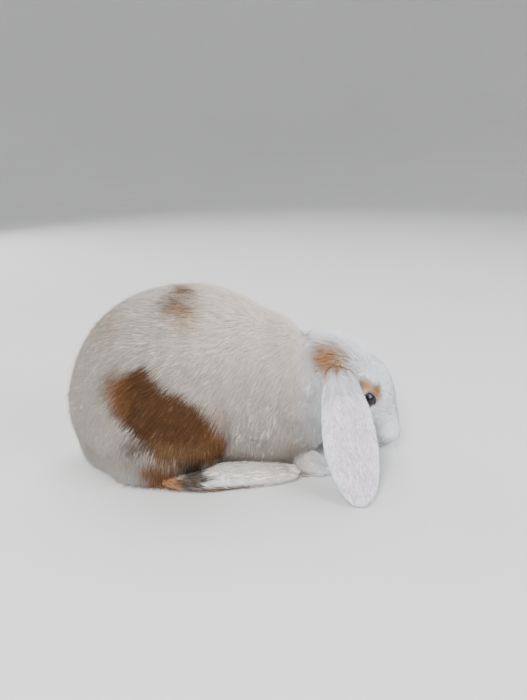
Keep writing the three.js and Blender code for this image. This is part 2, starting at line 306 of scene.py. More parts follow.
def through(rows, t):
    """A smooth curve through evenly spaced rows (Catmull-Rom), at t from 0 to 1."""
    n = len(rows) - 1
    t = np.clip(t, 0, 1) * n
    i = np.clip(t.astype(int), 0, n - 1)
    f = (t - i)[..., None]
    ends = np.concatenate([[2 * rows[0] - rows[1]], rows, [2 * rows[-1] - rows[-2]]])
    a, b, c, d = ends[i], ends[i + 1], ends[i + 2], ends[i + 3]
    return 0.5 * (2 * b + (c - a) * f + (2 * a - 5 * b + 4 * c - d) * f**2
                  + (3 * b - a - 3 * c + d) * f**3)


def body_surface(u, v, field):
    """Body surface: at v along and u round, the first zero of a field on a ray from the inner line.
    Rays stand square to the line along its length and turn to point along it over both caps."""
    between_caps = (v - REAR_CAP) / (1 - REAR_CAP - FRONT_CAP)
    x, z, tilt = np.moveaxis(through(INNER_LINE, between_caps), -1, 0)
    tilt = np.radians(tilt)
    turn = np.full(v.shape, np.pi / 2)
    turn = np.where(v < REAR_CAP, np.pi / 2 * (2 - v / REAR_CAP), turn)
    turn = np.where(v > 1 - FRONT_CAP, np.pi / 2 * (1 - v) / FRONT_CAP, turn)
    forward = np.cos(turn)
    up, left = np.sin(turn) * np.cos(2 * np.pi * u), np.sin(turn) * np.sin(2 * np.pi * u)
    start = np.stack([x, 0 * x, z], -1)
    ray = np.stack([forward * np.cos(tilt) + up * np.sin(tilt), left,
                    up * np.cos(tilt) - forward * np.sin(tilt)], -1)
    inside = np.zeros(v.shape)
    outside = np.full(v.shape, FIELD_REACH)
    found = np.zeros(v.shape, bool)
    for k in range(1, RAY_STEPS + 1):
        r = FIELD_REACH * k / RAY_STEPS
        out = ~found & (field(start + ray * r) > 0)
        inside = np.where(out, r - FIELD_REACH / RAY_STEPS, inside)
        outside = np.where(out, r, outside)
        found |= out
    for _ in range(HALVINGS):
        middle = (inside + outside) / 2
        below = field(start + ray * middle[..., None]) < 0
        inside = np.where(below, middle, inside)
        outside = np.where(below, outside, middle)
    return start + ray * outside[..., None]


def tube_frame(rows, t, facing):
    """Middle, direction, across and over vectors of a line, with `over` kept near `facing`."""
    ahead = unit(through(rows[:, :3], np.minimum(t + LINE_STEP, 1))
                 - through(rows[:, :3], np.maximum(t - LINE_STEP, 0)))
    over = unit(np.array(facing) - ahead * (ahead @ np.array(facing))[..., None])
    return through(rows, t), ahead, np.cross(ahead, over), over


def tube_surface(rows, u, v, facing, coat=0.0):
    """A flattened tube: an ellipse carried along a line, its rims curled by curl * a^2 / width, and
    lying inside the solid's own tube by the coat's depth."""
    row, _, across, over = tube_frame(rows, v, facing)
    width = np.maximum(row[..., 3] - coat, THINNEST)
    height = np.maximum(row[..., 4] - coat, THINNEST)
    closing = np.sqrt(np.clip(np.minimum(v, 1 - v) / END_ROUNDING, 0, 1))
    a = width * np.cos(2 * np.pi * u) * closing
    b = height * np.sin(2 * np.pi * u) * closing - row[..., 5] * a * a / width
    return row[..., :3] + across * a[..., None] + over * b[..., None]


def grid(around, along):
    """Two parameters on a grid: u round (open at its end) and v along, both from 0 to 1."""
    v, u = np.meshgrid(np.linspace(0, 1, along), np.arange(around) / around, indexing="ij")
    return u, v


def grid_faces(along, around, offset=0):
    """Quads of a grid that closes round itself."""
    i, j = np.meshgrid(np.arange(along - 1), np.arange(around), indexing="ij")
    a, b = i * around + j, i * around + (j + 1) % around
    return np.stack([a, b, b + around, a + around], -1).reshape(-1, 4) + offset


def facing_out(points, faces):
    """Faces turned so that a closed surface's volume is above 0."""
    p = points[faces]
    volume = np.einsum("ij,ij->i", p[:, 0], np.cross(p[:, 1], p[:, 2])).sum()
    volume += np.einsum("ij,ij->i", p[:, 0], np.cross(p[:, 2], p[:, 3])).sum()
    return faces if volume > 0 else faces[:, ::-1]


def to_left(points, middle):
    """Points mirrored in an upright plane along the body."""
    return np.stack([points[..., 0], 2 * middle - points[..., 1], points[..., 2]], -1)


# ---- markings -------------------------------------------------------------------------------

TONES = dict(
    # The body's cream is partly its own warm tint and partly painted shade: the white coat darkened
    # as if the body lay in shadow. The head's white is the same coat as if lit.
    cream_in_shade=(0.665, 0.605, 0.545),
    white=(0.790, 0.815, 0.855),
    brown=(0.135, 0.064, 0.029),
    orange=(0.270, 0.120, 0.042),
    tan=(0.430, 0.250, 0.125),
    rust=(0.380, 0.190, 0.075),
    dark=(0.045, 0.030, 0.022),
    grey=(0.130, 0.095, 0.075),
    pink=(0.640, 0.370, 0.345),
    ear=(0.760, 0.690, 0.780),
    ear_inside=(0.736, 0.4255, 0.39675),
    pupil=(0.004, 0.004, 0.006),
    iris=(0.030, 0.042, 0.062),
    iris_rim=(0.012, 0.010, 0.012),
    eyeball=(0.45, 0.40, 0.38),
    lid=(0.30, 0.17, 0.165),
    lid_edge=(0.025, 0.017, 0.017),
    lash=(0.05, 0.035, 0.03),
    whisker=(0.80, 0.80, 0.80),
    claw=(0.36, 0.30, 0.25),
)
# The big patch on the right haunch, outlined from the side: x and z.
HAUNCH_OUTLINE = np.array([
    (-0.083, 0.096), (-0.071, 0.107), (-0.058, 0.111), (-0.047, 0.097), (-0.031, 0.085),
    (-0.014, 0.067), (-0.006, 0.045), (-0.007, 0.025), (-0.026, 0.026), (-0.045, 0.030),
    (-0.060, 0.038), (-0.068, 0.050), (-0.079, 0.062), (-0.086, 0.078),
])
# Patches of colour, a few of them painted shade: middle, half sizes, nose-down tilt, tone, how
# strong, and how soft its edge is.
PATCHES = dict(
    haunch_rim=((-0.084, -0.052, 0.088), (0.010, 0.020, 0.019), 0, "orange", 0.75, 0.6),
    haunch_front=((-0.012, -0.058, 0.052), (0.010, 0.020, 0.024), 10, "orange", 0.55, 0.6),
    haunch_low=((-0.044, -0.062, 0.044), (0.024, 0.024, 0.009), 8, "tan", 0.45, 0.6),
    haunch_smudge=((-0.0745, -0.064, 0.048), (0.015, 0.02, 0.007), 8, "grey", 0.85, 0.6),
    # painted shade, grey, low on the back of the right haunch
    haunch_painted_shade=((-0.080, -0.060, 0.035), (0.013, 0.02, 0.009), 0, "grey", 0.28, 0.7),
    heel_orange=((-0.056, -0.062, 0.014), (0.021, 0.024, 0.017), 0, "orange", 0.97, 0.4),
    heel_dark=((-0.034, -0.063, 0.016), (0.015, 0.022, 0.015), -15, "dark", 0.96, 0.35),
    sole=((-0.014, -0.064, 0.003), (0.032, 0.012, 0.0045), 0, "brown", 0.9, 0.4),
    back_spot=((-0.034, -0.010, 0.158), (0.013, 0.018, 0.010), 0, "brown", 0.9, 0.5),
    back_spot_low=((-0.036, -0.030, 0.150), (0.016, 0.011, 0.010), 0, "brown", 0.75, 0.6),
    back_spot_skirt=((-0.032, -0.040, 0.141), (0.012, 0.012, 0.010), 0, "tan", 0.5, 0.7),
    # painted shade, tan, high on the right of the rump
    rump_painted_shade=((-0.094, -0.026, 0.133), (0.012, 0.020, 0.012), 0, "tan", 0.35, 0.8),
    nape_patch=((0.079, -0.028, 0.1015), (0.015, 0.016, 0.012), 25, "rust", 0.97, 0.45),
    brow=((0.107, -0.033, 0.0775), (0.019, 0.010, 0.0062), 30, "rust", 0.9, 0.4),
    brow_front=((0.1180, -0.030, 0.0740), (0.0040, 0.008, 0.006), 60, "orange", 0.7, 0.5),
    ear_root=((0.098, -0.033, 0.091), (0.006, 0.008, 0.005), 0, "tan", 0.55, 0.6),
    crown_left=((0.107, 0.012, 0.103), (0.010, 0.010, 0.008), 30, "grey", 0.45, 0.6),
    bridge=((0.139, -0.008, 0.062), (0.006, 0.008, 0.012), 0, "tan", 0.30, 0.7),
    # painted shadow, tan, under the right cheek behind the whisker pad
    cheek_painted_shadow=((0.114, -0.030, 0.037), (0.010, 0.012, 0.011), 0, "tan", 0.30, 0.7),
    # painted shade, dark grey, in the slit behind the right ear's base
    ear_slit_painted_shade=((0.0685, -0.036, 0.091), (0.0020, 0.010, 0.0065), 20, "grey", 0.75, 0.5),
    ear_fold=((0.0745, -0.036, 0.0905), (0.0045, 0.010, 0.0055), 0, "pink", 0.35, 0.6),
    chest_tint=((0.050, -0.044, 0.030), (0.014, 0.014, 0.010), 0, "tan", 0.30, 0.7),
    left_flank=((-0.030, 0.054, 0.104), (0.024, 0.026, 0.016), 24, "brown", 0.9, 0.35),
    left_flank_front=((-0.008, 0.056, 0.090), (0.016, 0.026, 0.013), 40, "brown", 0.85, 0.4),
    left_haunch=((-0.086, 0.056, 0.066), (0.013, 0.026, 0.020), -20, "brown", 0.9, 0.4),
    left_haunch_low=((-0.072, 0.064, 0.045), (0.018, 0.026, 0.010), 10, "orange", 0.7, 0.5),
    left_heel=((-0.050, 0.062, 0.012), (0.020, 0.022, 0.012), 0, "orange", 0.7, 0.5),
    left_nape=((0.074, 0.022, 0.100), (0.014, 0.012, 0.012), 20, "tan", 0.8, 0.45),
    left_brow=((0.109, 0.023, 0.078), (0.013, 0.010, 0.0065), 30, "brown", 0.8, 0.45),
    left_cheek=((0.108, 0.024, 0.050), (0.010, 0.012, 0.008), 40, "tan", 0.5, 0.6),
)


def outline_far(x, z, outline):
    """Distance from a closed outline in the side plane, below 0 inside it."""
    far = np.full(x.shape, 1.0)
    inside = np.zeros(x.shape, bool)
    for (ax, az), (bx, bz) in zip(outline, np.roll(outline, -1, axis=0)):
        ex, ez = bx - ax, bz - az
        t = np.clip(((x - ax) * ex + (z - az) * ez) / (ex * ex + ez * ez), 0, 1)
        far = np.minimum(far, np.hypot(x - ax - t * ex, z - az - t * ez))
        crosses = (az > z) != (bz > z)
        inside ^= crosses & (x < ax + (z - az) / (ez + (ez == 0)) * ex)
    return np.where(inside, -far, far)


SINES, FINER, WEAKER, MOST = 5, 0.6, 0.5, 2.6  # each sine finer and weaker, and their most


def ripple(p, scale, seed):
    """A smooth wander between -1 and 1: five sines of turned and ever finer places, added up."""
    draw = np.random.default_rng(seed)
    total = np.zeros(p.shape[:-1])
    for k in range(SINES):
        way = unit(draw.normal(size=3)) * (2 * np.pi / scale) * (1 + FINER * k)
        total += np.sin(p @ way + draw.uniform(0, 6.28)) / (1 + WEAKER * k)
    return total / MOST


def ripples(p, waves):
    """Ripples added up; a wave is how strong, how wide in metres, and its seed."""
    return sum(strong * ripple(p, wide, seed) for strong, wide, seed in waves)


def tone(name):
    """A named colour as an array."""
    return np.array(TONES[name])


def mixed(colour, other, share):
    """One colour moved towards another by a share at each place."""
    return colour + (other - colour) * share[..., None]


WHITE_AHEAD = (0.040, 0.080)  # how far forward the cream body, partly painted shade, turns into the white head
WHITE_LOW, WHITE_LOW_SHARE = (0.030, 0.008), 0.35  # and near the floor, in part
WHITE_WAVES = [(0.006, 0.03, 3)]
EDGE_WAVES = [(0.34, 0.026, 7), (0.14, 0.008, 8)]  # how the patches' edges wander
OUTLINE_WANDER = 0.008  # how far the haunch's outline follows them, in metres
OUTLINE_EDGE = (0.003, -0.004)  # from outside its outline to inside it
RIGHT_SIDE = (-0.030, -0.040)  # the haunch's patch is only out here
MOTTLE = [(0.05, 0.012, 11)]  # a little lighter and darker all over


def coat_colour(p):
    """Colour of the coat at a place on the skin: cream body, partly its own warm tint and partly
    painted shade, white head and feet as if lit, then patches.
    """
    white = smooth_step(*WHITE_AHEAD, p[..., 0] + ripples(p, WHITE_WAVES))
    white = np.maximum(white, WHITE_LOW_SHARE * smooth_step(*WHITE_LOW, p[..., 2]))
    # cream body, partly painted shade, turning into the white head, as if lit
    colour = mixed(tone("cream_in_shade") + 0 * p, tone("white"), white)
    wander = ripples(p, EDGE_WAVES)
    far = outline_far(p[..., 0], p[..., 2], HAUNCH_OUTLINE) + OUTLINE_WANDER * wander
    on_haunch = smooth_step(*OUTLINE_EDGE, far) * smooth_step(*RIGHT_SIDE, p[..., 1])
    colour = mixed(colour, tone("brown"), on_haunch)
    for at, half, tilt, its_tone, strength, soft in PATCHES.values():
        far = np.linalg.norm(tilted(p, at, tilt) / half, axis=-1) + wander
        colour = mixed(colour, tone(its_tone), strength * smooth_step(1 + soft, 1 - soft, far))
    return colour * (1 + ripples(p, MOTTLE)[..., None])


NOSE_REACH, NOSE_STRETCH = (0.011, 0.004), (0.6, 1, 1)  # bare round the nose, and how far back
STROKE_PINK, NOSE_PINK = 0.9, 0.7  # how bare the strokes and the skin round the nose are


def skin_colour(p):
    """The coat's colour, with bare pink skin in the folds of the nose and mouth."""
    near_nose = smooth_step(*NOSE_REACH, np.linalg.norm((p - NOSE_AT) * NOSE_STRETCH, axis=-1))
    pink = np.clip(STROKE_PINK * nose_strokes(p)[1] + NOSE_PINK * near_nose, 0, 1)
    return mixed(coat_colour(p), tone("pink"), pink)


# Where an ear is white: towards its rims, its tip and its base. Its inner side is pinker.
EAR_RIMS, EAR_TIP, EAR_BASE = (0.55, 0.98), (0.80, 0.99), (0.44, 0.14)
EAR_INSIDE, EAR_INSIDE_RIMS, EAR_INSIDE_SHARE = (0.02, 0.25), (0.97, 0.80), 0.6


def ear_colour(u, v):
    """Colour of an ear: pinkish along its middle, white at the rims and at both ends."""
    rim = np.abs(np.cos(2 * np.pi * u))
    white = np.maximum(smooth_step(*EAR_RIMS, rim), smooth_step(*EAR_TIP, v))
    white = np.maximum(white, smooth_step(*EAR_BASE, v))
    inner = smooth_step(*EAR_INSIDE, -np.sin(2 * np.pi * u)) * smooth_step(*EAR_INSIDE_RIMS, rim)
    colour = mixed(tone("ear"), tone("white"), white)
    return mixed(colour, tone("ear_inside"), EAR_INSIDE_SHARE * inner)


# ---- meshes ---------------------------------------------------------------------------------


def new_piece(name, points, corners, sizes, tint, uv):
    """A mesh object from arrays: corner indices of all faces in a row, and each face's size."""
    mesh = bpy.data.meshes.new(name)
    mesh.vertices.add(len(points))
    mesh.vertices.foreach_set("co", (points + ROW_SHIFT).astype(np.float32).ravel())
    mesh.loops.add(len(corners))
    mesh.loops.foreach_set("vertex_index", corners.astype(np.int32))
    mesh.polygons.add(len(sizes))
    starts = np.concatenate([[0], np.cumsum(sizes)[:-1]])
    mesh.polygons.foreach_set("loop_start", starts.astype(np.int32))
    mesh.polygons.foreach_set("loop_total", sizes.astype(np.int32))
    mesh.polygons.foreach_set("use_smooth", np.ones(len(sizes), bool))
    mesh.update(calc_edges=True)
    rgba = np.concatenate([tint, np.ones((len(tint), 1))], 1)
    layer = mesh.attributes.new("tint", "FLOAT_COLOR", "POINT")
    layer.data.foreach_set("color", rgba.astype(np.float32).ravel())
    layer = mesh.uv_layers.new(name="OFBake")
    layer.data.foreach_set("uv", uv.astype(np.float32).ravel())
    return placed(name, mesh)


def placed(name, data):
    """An object of its own for a mesh, light or camera, in the scene."""
    made = bpy.data.objects.new(name, data)
    bpy.context.scene.collection.objects.link(made)
    return made


class Patchwork:
    """Surfaces gathered into one mesh: grids of points with their faces, colours and map."""

    def __init__(self):
        self.points, self.faces, self.tint, self.uv = [], [], [], []
        self.count = 0

    def add(self, points, colour, tile):
        """One grid of points. `tile` is its box on the map: low u, low v, high u, high v."""
        along, around = points.shape[:2]
        faces = facing_out(points.reshape(-1, 3), grid_faces(along, around))
        i, j = faces // around, faces % around
        seam = (j == 0) & (j.max(1, keepdims=True) == around - 1)
        u = np.where(seam, around, j) / around
        v = i / (along - 1)
        low_u, low_v, high_u, high_v = tile
        self.uv.append(np.stack([low_u + (high_u - low_u) * u, low_v + (high_v - low_v) * v], -1))
        self.points.append(points.reshape(-1, 3))
        self.tint.append(colour.reshape(-1, 3))
        self.faces.append(faces + self.count)
        self.count += along * around

    def build(self, name):
        """The mesh object of all that was added."""
        faces = np.concatenate(self.faces)
        return new_piece(name, np.concatenate(self.points), faces.ravel(), np.full(len(faces), 4),
                         np.concatenate(self.tint), np.concatenate(self.uv).reshape(-1, 2))


# ---- the skin -------------------------------------------------------------------------------

FLOOR_CLEAR = 0.0003  # nothing of the rabbit is nearer to the floor
BODY_AROUND, BODY_ALONG = 210, 280
HEAD_STARTS = 0.70  # where along the body the rings grow closer for the face
BODY_RINGS_SHARE = 0.52  # of the rings, those behind the head


def above_floor(p):
    """Points kept just above the floor."""
    return np.stack([p[..., 0], p[..., 1], np.maximum(p[..., 2], FLOOR_CLEAR)], -1)


TOE_LINES = np.array([-0.52, 0.0, 0.52])  # across the foot, as shares of the toes' half width
TOE_SPREAD, TOE_LINE_WIDTH = 0.78, 0.15  # the toes' half width over the foot's, and a line's own
TOES_FROM, TOES_APART, TOES_END = (0.54, 0.74), (0.76, 0.97), (1.0, 0.96)  # along the foot
TOE_GAP = 1.2  # how far back the toes part, over how deep
TOP_OF_FOOT, OUTER_EAR = (-0.2, 0.4), (-0.1, 0.3)  # by the sine of the turn round the tube
FOLDS_ACROSS, FOLDS_TWIST, FOLDS_RIM = 1.5, 0.35, (1.0, 0.75)
FOLDS_START, FOLDS_END = (0.05, 0.16), (0.50, 0.24)  # along the ear


def across_share(points, row, across, width):
    """How far places lie across a line, as a share of a width."""
    return ((points - row[..., :3]) * across).sum(-1) / width


def toe_creases(points, v, rows):
    """How near a place on a foot is to one of the three lines that part its four toes."""
    row, _, across, _ = tube_frame(rows, v, UP)
    side = across_share(points, row, across, TOE_SPREAD * rows[:, 3].max())
    return np.exp(-(((side[..., None] - TOE_LINES) / TOE_LINE_WIDTH) ** 2)).sum(-1)


def toes_grooved(points, v, u, rows, facing, depth):
    """A foot's front drawn in and back along the three lines that part its four toes."""
    _, ahead, _, over = tube_frame(rows, v, facing)
    top = smooth_step(*TOP_OF_FOOT, np.sin(2 * np.pi * u))
    near = smooth_step(*TOES_FROM, v)
    line = toe_creases(points, v, rows)
    lobes = points - ahead * (TOE_GAP * depth * line * smooth_step(*TOES_APART, v))[..., None]
    return lobes - over * (depth * line * top * near * smooth_step(*TOES_END, v))[..., None]


def folded(points, v, u, rows, facing, rise):
    """An ear's base with three ridges along it, which fan out and fade towards its middle."""
    row, _, across, over = tube_frame(rows, v, facing)
    side = across_share(points, row, across, np.maximum(row[..., 3], 0.001))
    outer = smooth_step(*OUTER_EAR, np.sin(2 * np.pi * u))
    wave = np.cos(2 * np.pi * (FOLDS_ACROSS * side + FOLDS_TWIST * v))
    ridge = wave * smooth_step(*FOLDS_RIM, np.abs(side))
    fade = smooth_step(*FOLDS_START, v) * smooth_step(*FOLDS_END, v)
    return points + over * (rise * ridge * fade * outer)[..., None]


def body_grid():
    """Body parameters with rings that stand closer along the head, and the skin there."""
    u, t = grid(BODY_AROUND, BODY_ALONG)
    v = np.interp(t, [0, BODY_RINGS_SHARE, 1], [0, HEAD_STARTS, 1])
    return u, v, above_floor(body_surface(u, v, skin_field))


LIMB_COATS = dict(hind=0.0026, fore=0.0024, tail=0.006, ear=0.0009)
TOE_RINGS = 1.4  # rings of a foot stand closer towards its toes, by this power
BODY_U, BODY_V, BODY = body_grid()


def limb(rows, facing, coat, around, along, left=None, toes=0.0, folds=0.0):
    """A tube's skin: points and its two parameters. `left` is the plane it is mirrored in."""
    u, v = grid(around, along)
    if toes:
        v = 1 - (1 - v) ** TOE_RINGS
    points = tube_surface(rows, u, v, facing, coat)
    if folds:
        points = folded(points, v, u, rows, facing, folds)
    if toes:
        points = toes_grooved(points, v, u, rows, facing, toes)
    if left is not None:
        points = to_left(points, left)
    return u, v, above_floor(points)


# Feet: the line, points round and along, and how deep the lines between the toes are.
FEET = dict(hind=(HIND_FOOT, 84, 60, 0.0032), fore=(FORE_FOOT, 76, 50, 0.0028))
EAR_FOLDS = 0.0016
EAR_ROWS = EAR + np.array([0, HEAD_SHIFT, 0, 0, 0, 0])
LIMBS, EARS = {}, {}
for kind, (rows, around, along, toes) in FEET.items():
    for side, left in (("right", None), ("left", 0.0)):
        LIMBS[f"{kind}_foot_{side}"] = limb(rows, UP, LIMB_COATS[kind], around, along, left, toes)
LIMBS["tail"] = limb(TAIL, TAIL_FACING, LIMB_COATS["tail"], 32, 32)
for side, left in (("right", None), ("left", HEAD_SHIFT)):
    EARS["ear_" + side] = limb(EAR_ROWS, EAR_FACING, LIMB_COATS["ear"], 64, 96, left,
                               folds=EAR_FOLDS)
SKIN_TILES = dict(  # where each surface lies on the skin's map
    body=(0.005, 0.005, 0.70, 0.995),
    hind_foot_right=(0.71, 0.005, 0.80, 0.24), hind_foot_left=(0.81, 0.005, 0.90, 0.24),
    fore_foot_right=(0.71, 0.25, 0.80, 0.44), fore_foot_left=(0.81, 0.25, 0.90, 0.44),
    tail=(0.91, 0.005, 0.995, 0.24), ear_right=(0.71, 0.45, 0.85, 0.995),
    ear_left=(0.86, 0.45, 0.995, 0.995),
)

skin_work = Patchwork()
skin_work.add(BODY, skin_colour(BODY), SKIN_TILES["body"])
for name, (_, _, points) in LIMBS.items():
    skin_work.add(points, coat_colour(points), SKIN_TILES[name])
for name, (u, v, points) in EARS.items():
    skin_work.add(points, ear_colour(u, v), SKIN_TILES[name])
skin = skin_work.build("skin")

# ---- where the eyes open --------------------------------------------------------------------

GAZE = (0.22, -1.0, 0.16)  # the right eye's, out to the side
LID_HALF = (0.84, 0.70)  # half angles of the opening in radians, along the face and across it
LOWER_LID = 0.9  # the opening's half angle below, over the one above
IRIS_ANGLE, PUPIL_ANGLE = 0.82, 0.60
EYE_COVER, EYE_MARGIN = 0.006, 0.12  # no hair this near to the ball, and so far round the opening
BALL_SKIN = 0.0003  # nor deeper than this under the ball's own surface


def eye_axes(side):
    """The gaze of an eye, the line along the face, and the line across it, as unit vectors."""
    gaze = unit(np.array(GAZE) * (1, -side, 1))
    along = unit(FACE_WAY - gaze * (FACE_WAY @ gaze))
    return gaze, along, np.cross(gaze, along)


def eye_middle(side):
    """The middle of an eye; side is 1 on the rabbit's left and -1 on its right."""
    return np.array([EYE_AT[0], HEAD_SHIFT + side * EYE_AT[1], EYE_AT[2]])


def opening(turn, upper):
    """Half angle of the eye's opening at a turn round the gaze: an ellipse, less tall below."""
    a, b = LID_HALF[0], LID_HALF[1] * np.where(upper, 1.0, LOWER_LID)
    return a * b / np.sqrt((b * np.cos(turn)) ** 2 + (a * np.sin(turn)) ** 2)


def over_eye(p, margin):
    """Whether places lie over the opening of either eye, with a margin in radians."""
    hit = np.zeros(p.shape[:-1], bool)
    for side in (-1, 1):
        gaze, along, across = eye_axes(side)
        far = p - eye_middle(side)
        distance = np.linalg.norm(far, axis=-1)
        turn = np.arctan2(far @ across, far @ along)
        wide = np.arccos(np.clip(far @ gaze / distance, -1, 1))
        open_here = opening(turn, np.sin(turn) * np.sign(across[2]) > 0) + margin
        hit |= (distance < EYE_RADIUS + EYE_COVER) & (wide < open_here + EYE_MARGIN)
        hit |= distance < EYE_RADIUS - BALL_SKIN
    return hit


# ---- the coat -------------------------------------------------------------------------------

TUFT_FACES = np.array([(0, 2, 1), (0, 3, 2), (0, 1, 3), (4, 1, 2), (4, 2, 3), (4, 3, 1)])
TUFT_PAINTED_SHADING = np.array([0.80, 0.97, 0.97, 1.0, 1.04])  # painted shade darkens the root deep in the coat and painted light brightens the tip: at its root, ring of three and tip
TUFT_RIDGE = 0.28  # how far its middle is raised into a ridge, over its width
TUFT_MAP = 0.0015 * np.array([(0, -1), (-1, 0), (1, 0), (0, 0.2), (0, 1)])  # its points on the map
MAP_FROM, MAP_SPAN = 0.01, 0.98


def along_skin(way, normal):
    """Unit vectors turned into the plane square to the normals."""
    return unit(way - normal * (way * normal).sum(-1, keepdims=True))


def tuft_piece(name, keep, root, mid, tip, normal, sunk, width, colour, place):
    """Thin leaf-shaped tufts, each closed: a root point, a ring of three round the middle point and
    a tip point. Roots are sunk a little, `keep` picks the tufts, and `place` is on the map."""
    root, mid, tip, normal, place = root[keep], mid[keep], tip[keep], normal[keep], place[keep]
    side = unit(np.cross(tip - root, normal))
    over = np.cross(side, unit(tip - root))
    half, ridge = (width[keep] / 2)[:, None], (TUFT_RIDGE * width[keep])[:, None]
    points = np.stack([root - normal * sunk, mid + side * half, mid - side * half,
                       mid + over * ridge, tip], 1)
    faces = (np.arange(len(points))[:, None, None] * 5 + TUFT_FACES).reshape(-1, 3)
    # each tuft's colour with painted shade at its root and painted light at its tip
    tint = colour[keep][:, None, :] * TUFT_PAINTED_SHADING[None, :, None]
    uv = ((MAP_FROM + MAP_SPAN * place)[:, None, :] + TUFT_MAP).reshape(-1, 2)[faces.ravel()]
    return new_piece(name, above_floor(points).reshape(-1, 3), faces.ravel(),
                     np.full(len(faces), 3), tint.reshape(-1, 3), uv)


def scatter(points, v, wanted, count, draw, weight=1.0):
    """Random places on a grid of quads, even by area and weight: the place, and its u and v."""
    around = points.shape[1]
    nxt = np.roll(points, -1, axis=1)
    a, b, c, d = points[:-1], nxt[:-1], nxt[1:], points[1:]
    area = np.linalg.norm(np.cross(c - a, d - b), axis=-1) / 2
    share = np.cumsum((area * wanted[:-1] * weight).ravel())
    cell = np.searchsorted(share, draw.uniform(0, share[-1], count))
    i, j = np.unravel_index(np.minimum(cell, share.size - 1), area.shape)
    s, t = draw.uniform(size=(2, count))
    k = (j + 1) % around
    fs, ft = s[:, None], t[:, None]
    place = ((1 - fs) * (1 - ft) * points[i, j] + fs * (1 - ft) * points[i, k]
             + fs * ft * points[i + 1, k] + (1 - fs) * ft * points[i + 1, j])
    along = v[i, 0] * (1 - t) + v[i + 1, 0] * t
    return place, (j + s) / around, along


LIE_HEIGHTS = np.array([0.0, 0.03, 0.06, 0.09, 0.12, 0.15])
LIE_ANGLES = np.radians([88, 80, 62, 45, 25, 0])  # below level, towards the tail
CROWN_WAY = unit(np.array([-1.0, 0.0, -0.12]))
HEAD_LIE, HEAD_LIE_LEAN = (0.070, 0.100), (0.15, 0.09)  # where the hair lies the face's way
CROWN_LIE = (0.114, 0.092)  # and where, behind the ears, it lies the crown's way
FLOW_WAVES = [(0.22, 0.040, 21), (0.12, 0.014, 22)]
FLOW_SPREAD, LOOSE_SPREAD, FACE_CALM = 0.08, 0.5, 0.65


def turned(way, axis, angle):
    """Vectors turned about unit axes they stand square to."""
    return way * np.cos(angle)[:, None] + np.cross(axis, way) * np.sin(angle)[:, None]


def body_flow(p, normal, draw, loose):
    """The lie of the hair: level along the back, steeper down the sides, and up the face."""
    angle = np.interp(p[:, 2], LIE_HEIGHTS, LIE_ANGLES)
    down_back = np.stack([-np.cos(angle), 0 * angle, -np.sin(angle)], -1)
    lean, height = HEAD_LIE_LEAN
    head = smooth_step(*HEAD_LIE, p[:, 0] + lean * (height - p[:, 2]))[:, None]
    rear = smooth_step(*CROWN_LIE, p[:, 0])[:, None]
    way = down_back * (1 - head) + (CROWN_WAY * rear - FACE_WAY * (1 - rear)) * head
    calm = 1 - FACE_CALM * face_share(p)
    wander = ripples(p, FLOW_WAVES) * calm
    spread = FLOW_SPREAD * calm + LOOSE_SPREAD * loose
    return turned(along_skin(way, normal), normal, wander + draw.normal(0, 1, len(p)) * spread)


def settled(p, level, gradient, times=2):
    """Points moved along a given gradient until the body's field there is the level asked for."""
    steep = np.maximum((gradient * gradient).sum(-1, keepdims=True), 1e-6)
    for _ in range(times):
        p = p - gradient * (coat_field(p) - level)[:, None] / steep
    return p


DARK_HAIR = (0.55, 0.20)  # from pale to dark, by the green of its colour
PALE_VARIES, DARK_VARIES = 0.05, 0.30
LOCK_ROUND, LOCK_ALONG, LOCK_LONG = 0.36, 0.40, 1.6  # metres round and along the body, and shape
LOCK_WAVES_U, LOCK_WAVES_V = [(0.004, 0.016, 51)], [(0.004, 0.014, 52)]


def hair_variety(colour, draw):
    """Each tuft a little lighter or darker: a little on pale hair, much more on dark hair."""
    varies = PALE_VARIES + DARK_VARIES * smooth_step(*DARK_HAIR, colour[:, 1])
    return colour * (1 + draw.uniform(-1, 1, len(colour)) * varies)[:, None]


def no_longer(tip, root, most):
    """Tips brought back along their tuft where it is longer than most."""
    far = np.linalg.norm(tip - root, axis=-1)
    return root + (tip - root) * np.minimum(1, most / far)[:, None]


def locks(points, u, v, share, size):
    """Points drawn towards the middle of the lock they stand in; locks are wandering cells."""
    cell_u = np.floor((u * LOCK_ROUND + ripples(points, LOCK_WAVES_U)) / size)
    cell_v = np.floor((v * LOCK_ALONG + ripples(points, LOCK_WAVES_V)) / (LOCK_LONG * size))
    _, cell = np.unique(cell_u * 100003 + cell_v, return_inverse=True)  # a prime keeps them apart
    cell = cell.ravel()
    count = np.bincount(cell)
    middle = np.stack([np.bincount(cell, points[:, k]) / count for k in range(3)], -1)
    return points + (middle[cell] - points) * share[:, None]


# The body's coat. Pairs in capitals are the least and most of a random draw, or where a share
# begins and ends, in metres; lengths go with the tuft's, heights with the coat's depth there.
ROOTS_DEPTH, ROOTS_POWER = 0.007, 0.8  # more tufts where the coat is shorter than this
LENGTH, LENGTH_GROWS, LENGTHS = 1.5, 170, (0.7, 1.25)
CROWN_AHEAD, CROWN_BEHIND, CROWN_ABOVE = (0.070, 0.092), (0.122, 0.108), (0.088, 0.098)
CROWN_SHARES, CROWN_LONGER, CROWN_RISE, CROWN_LIFT = (0.2, 1), 0.3, 0.9, 0.0055
MID_ALONG, MID_DEPTHS = 0.40, (0.30, 0.60)
TIP_DEPTHS, TIP_SHARES = (0.0, 0.55), (0.1, 1)
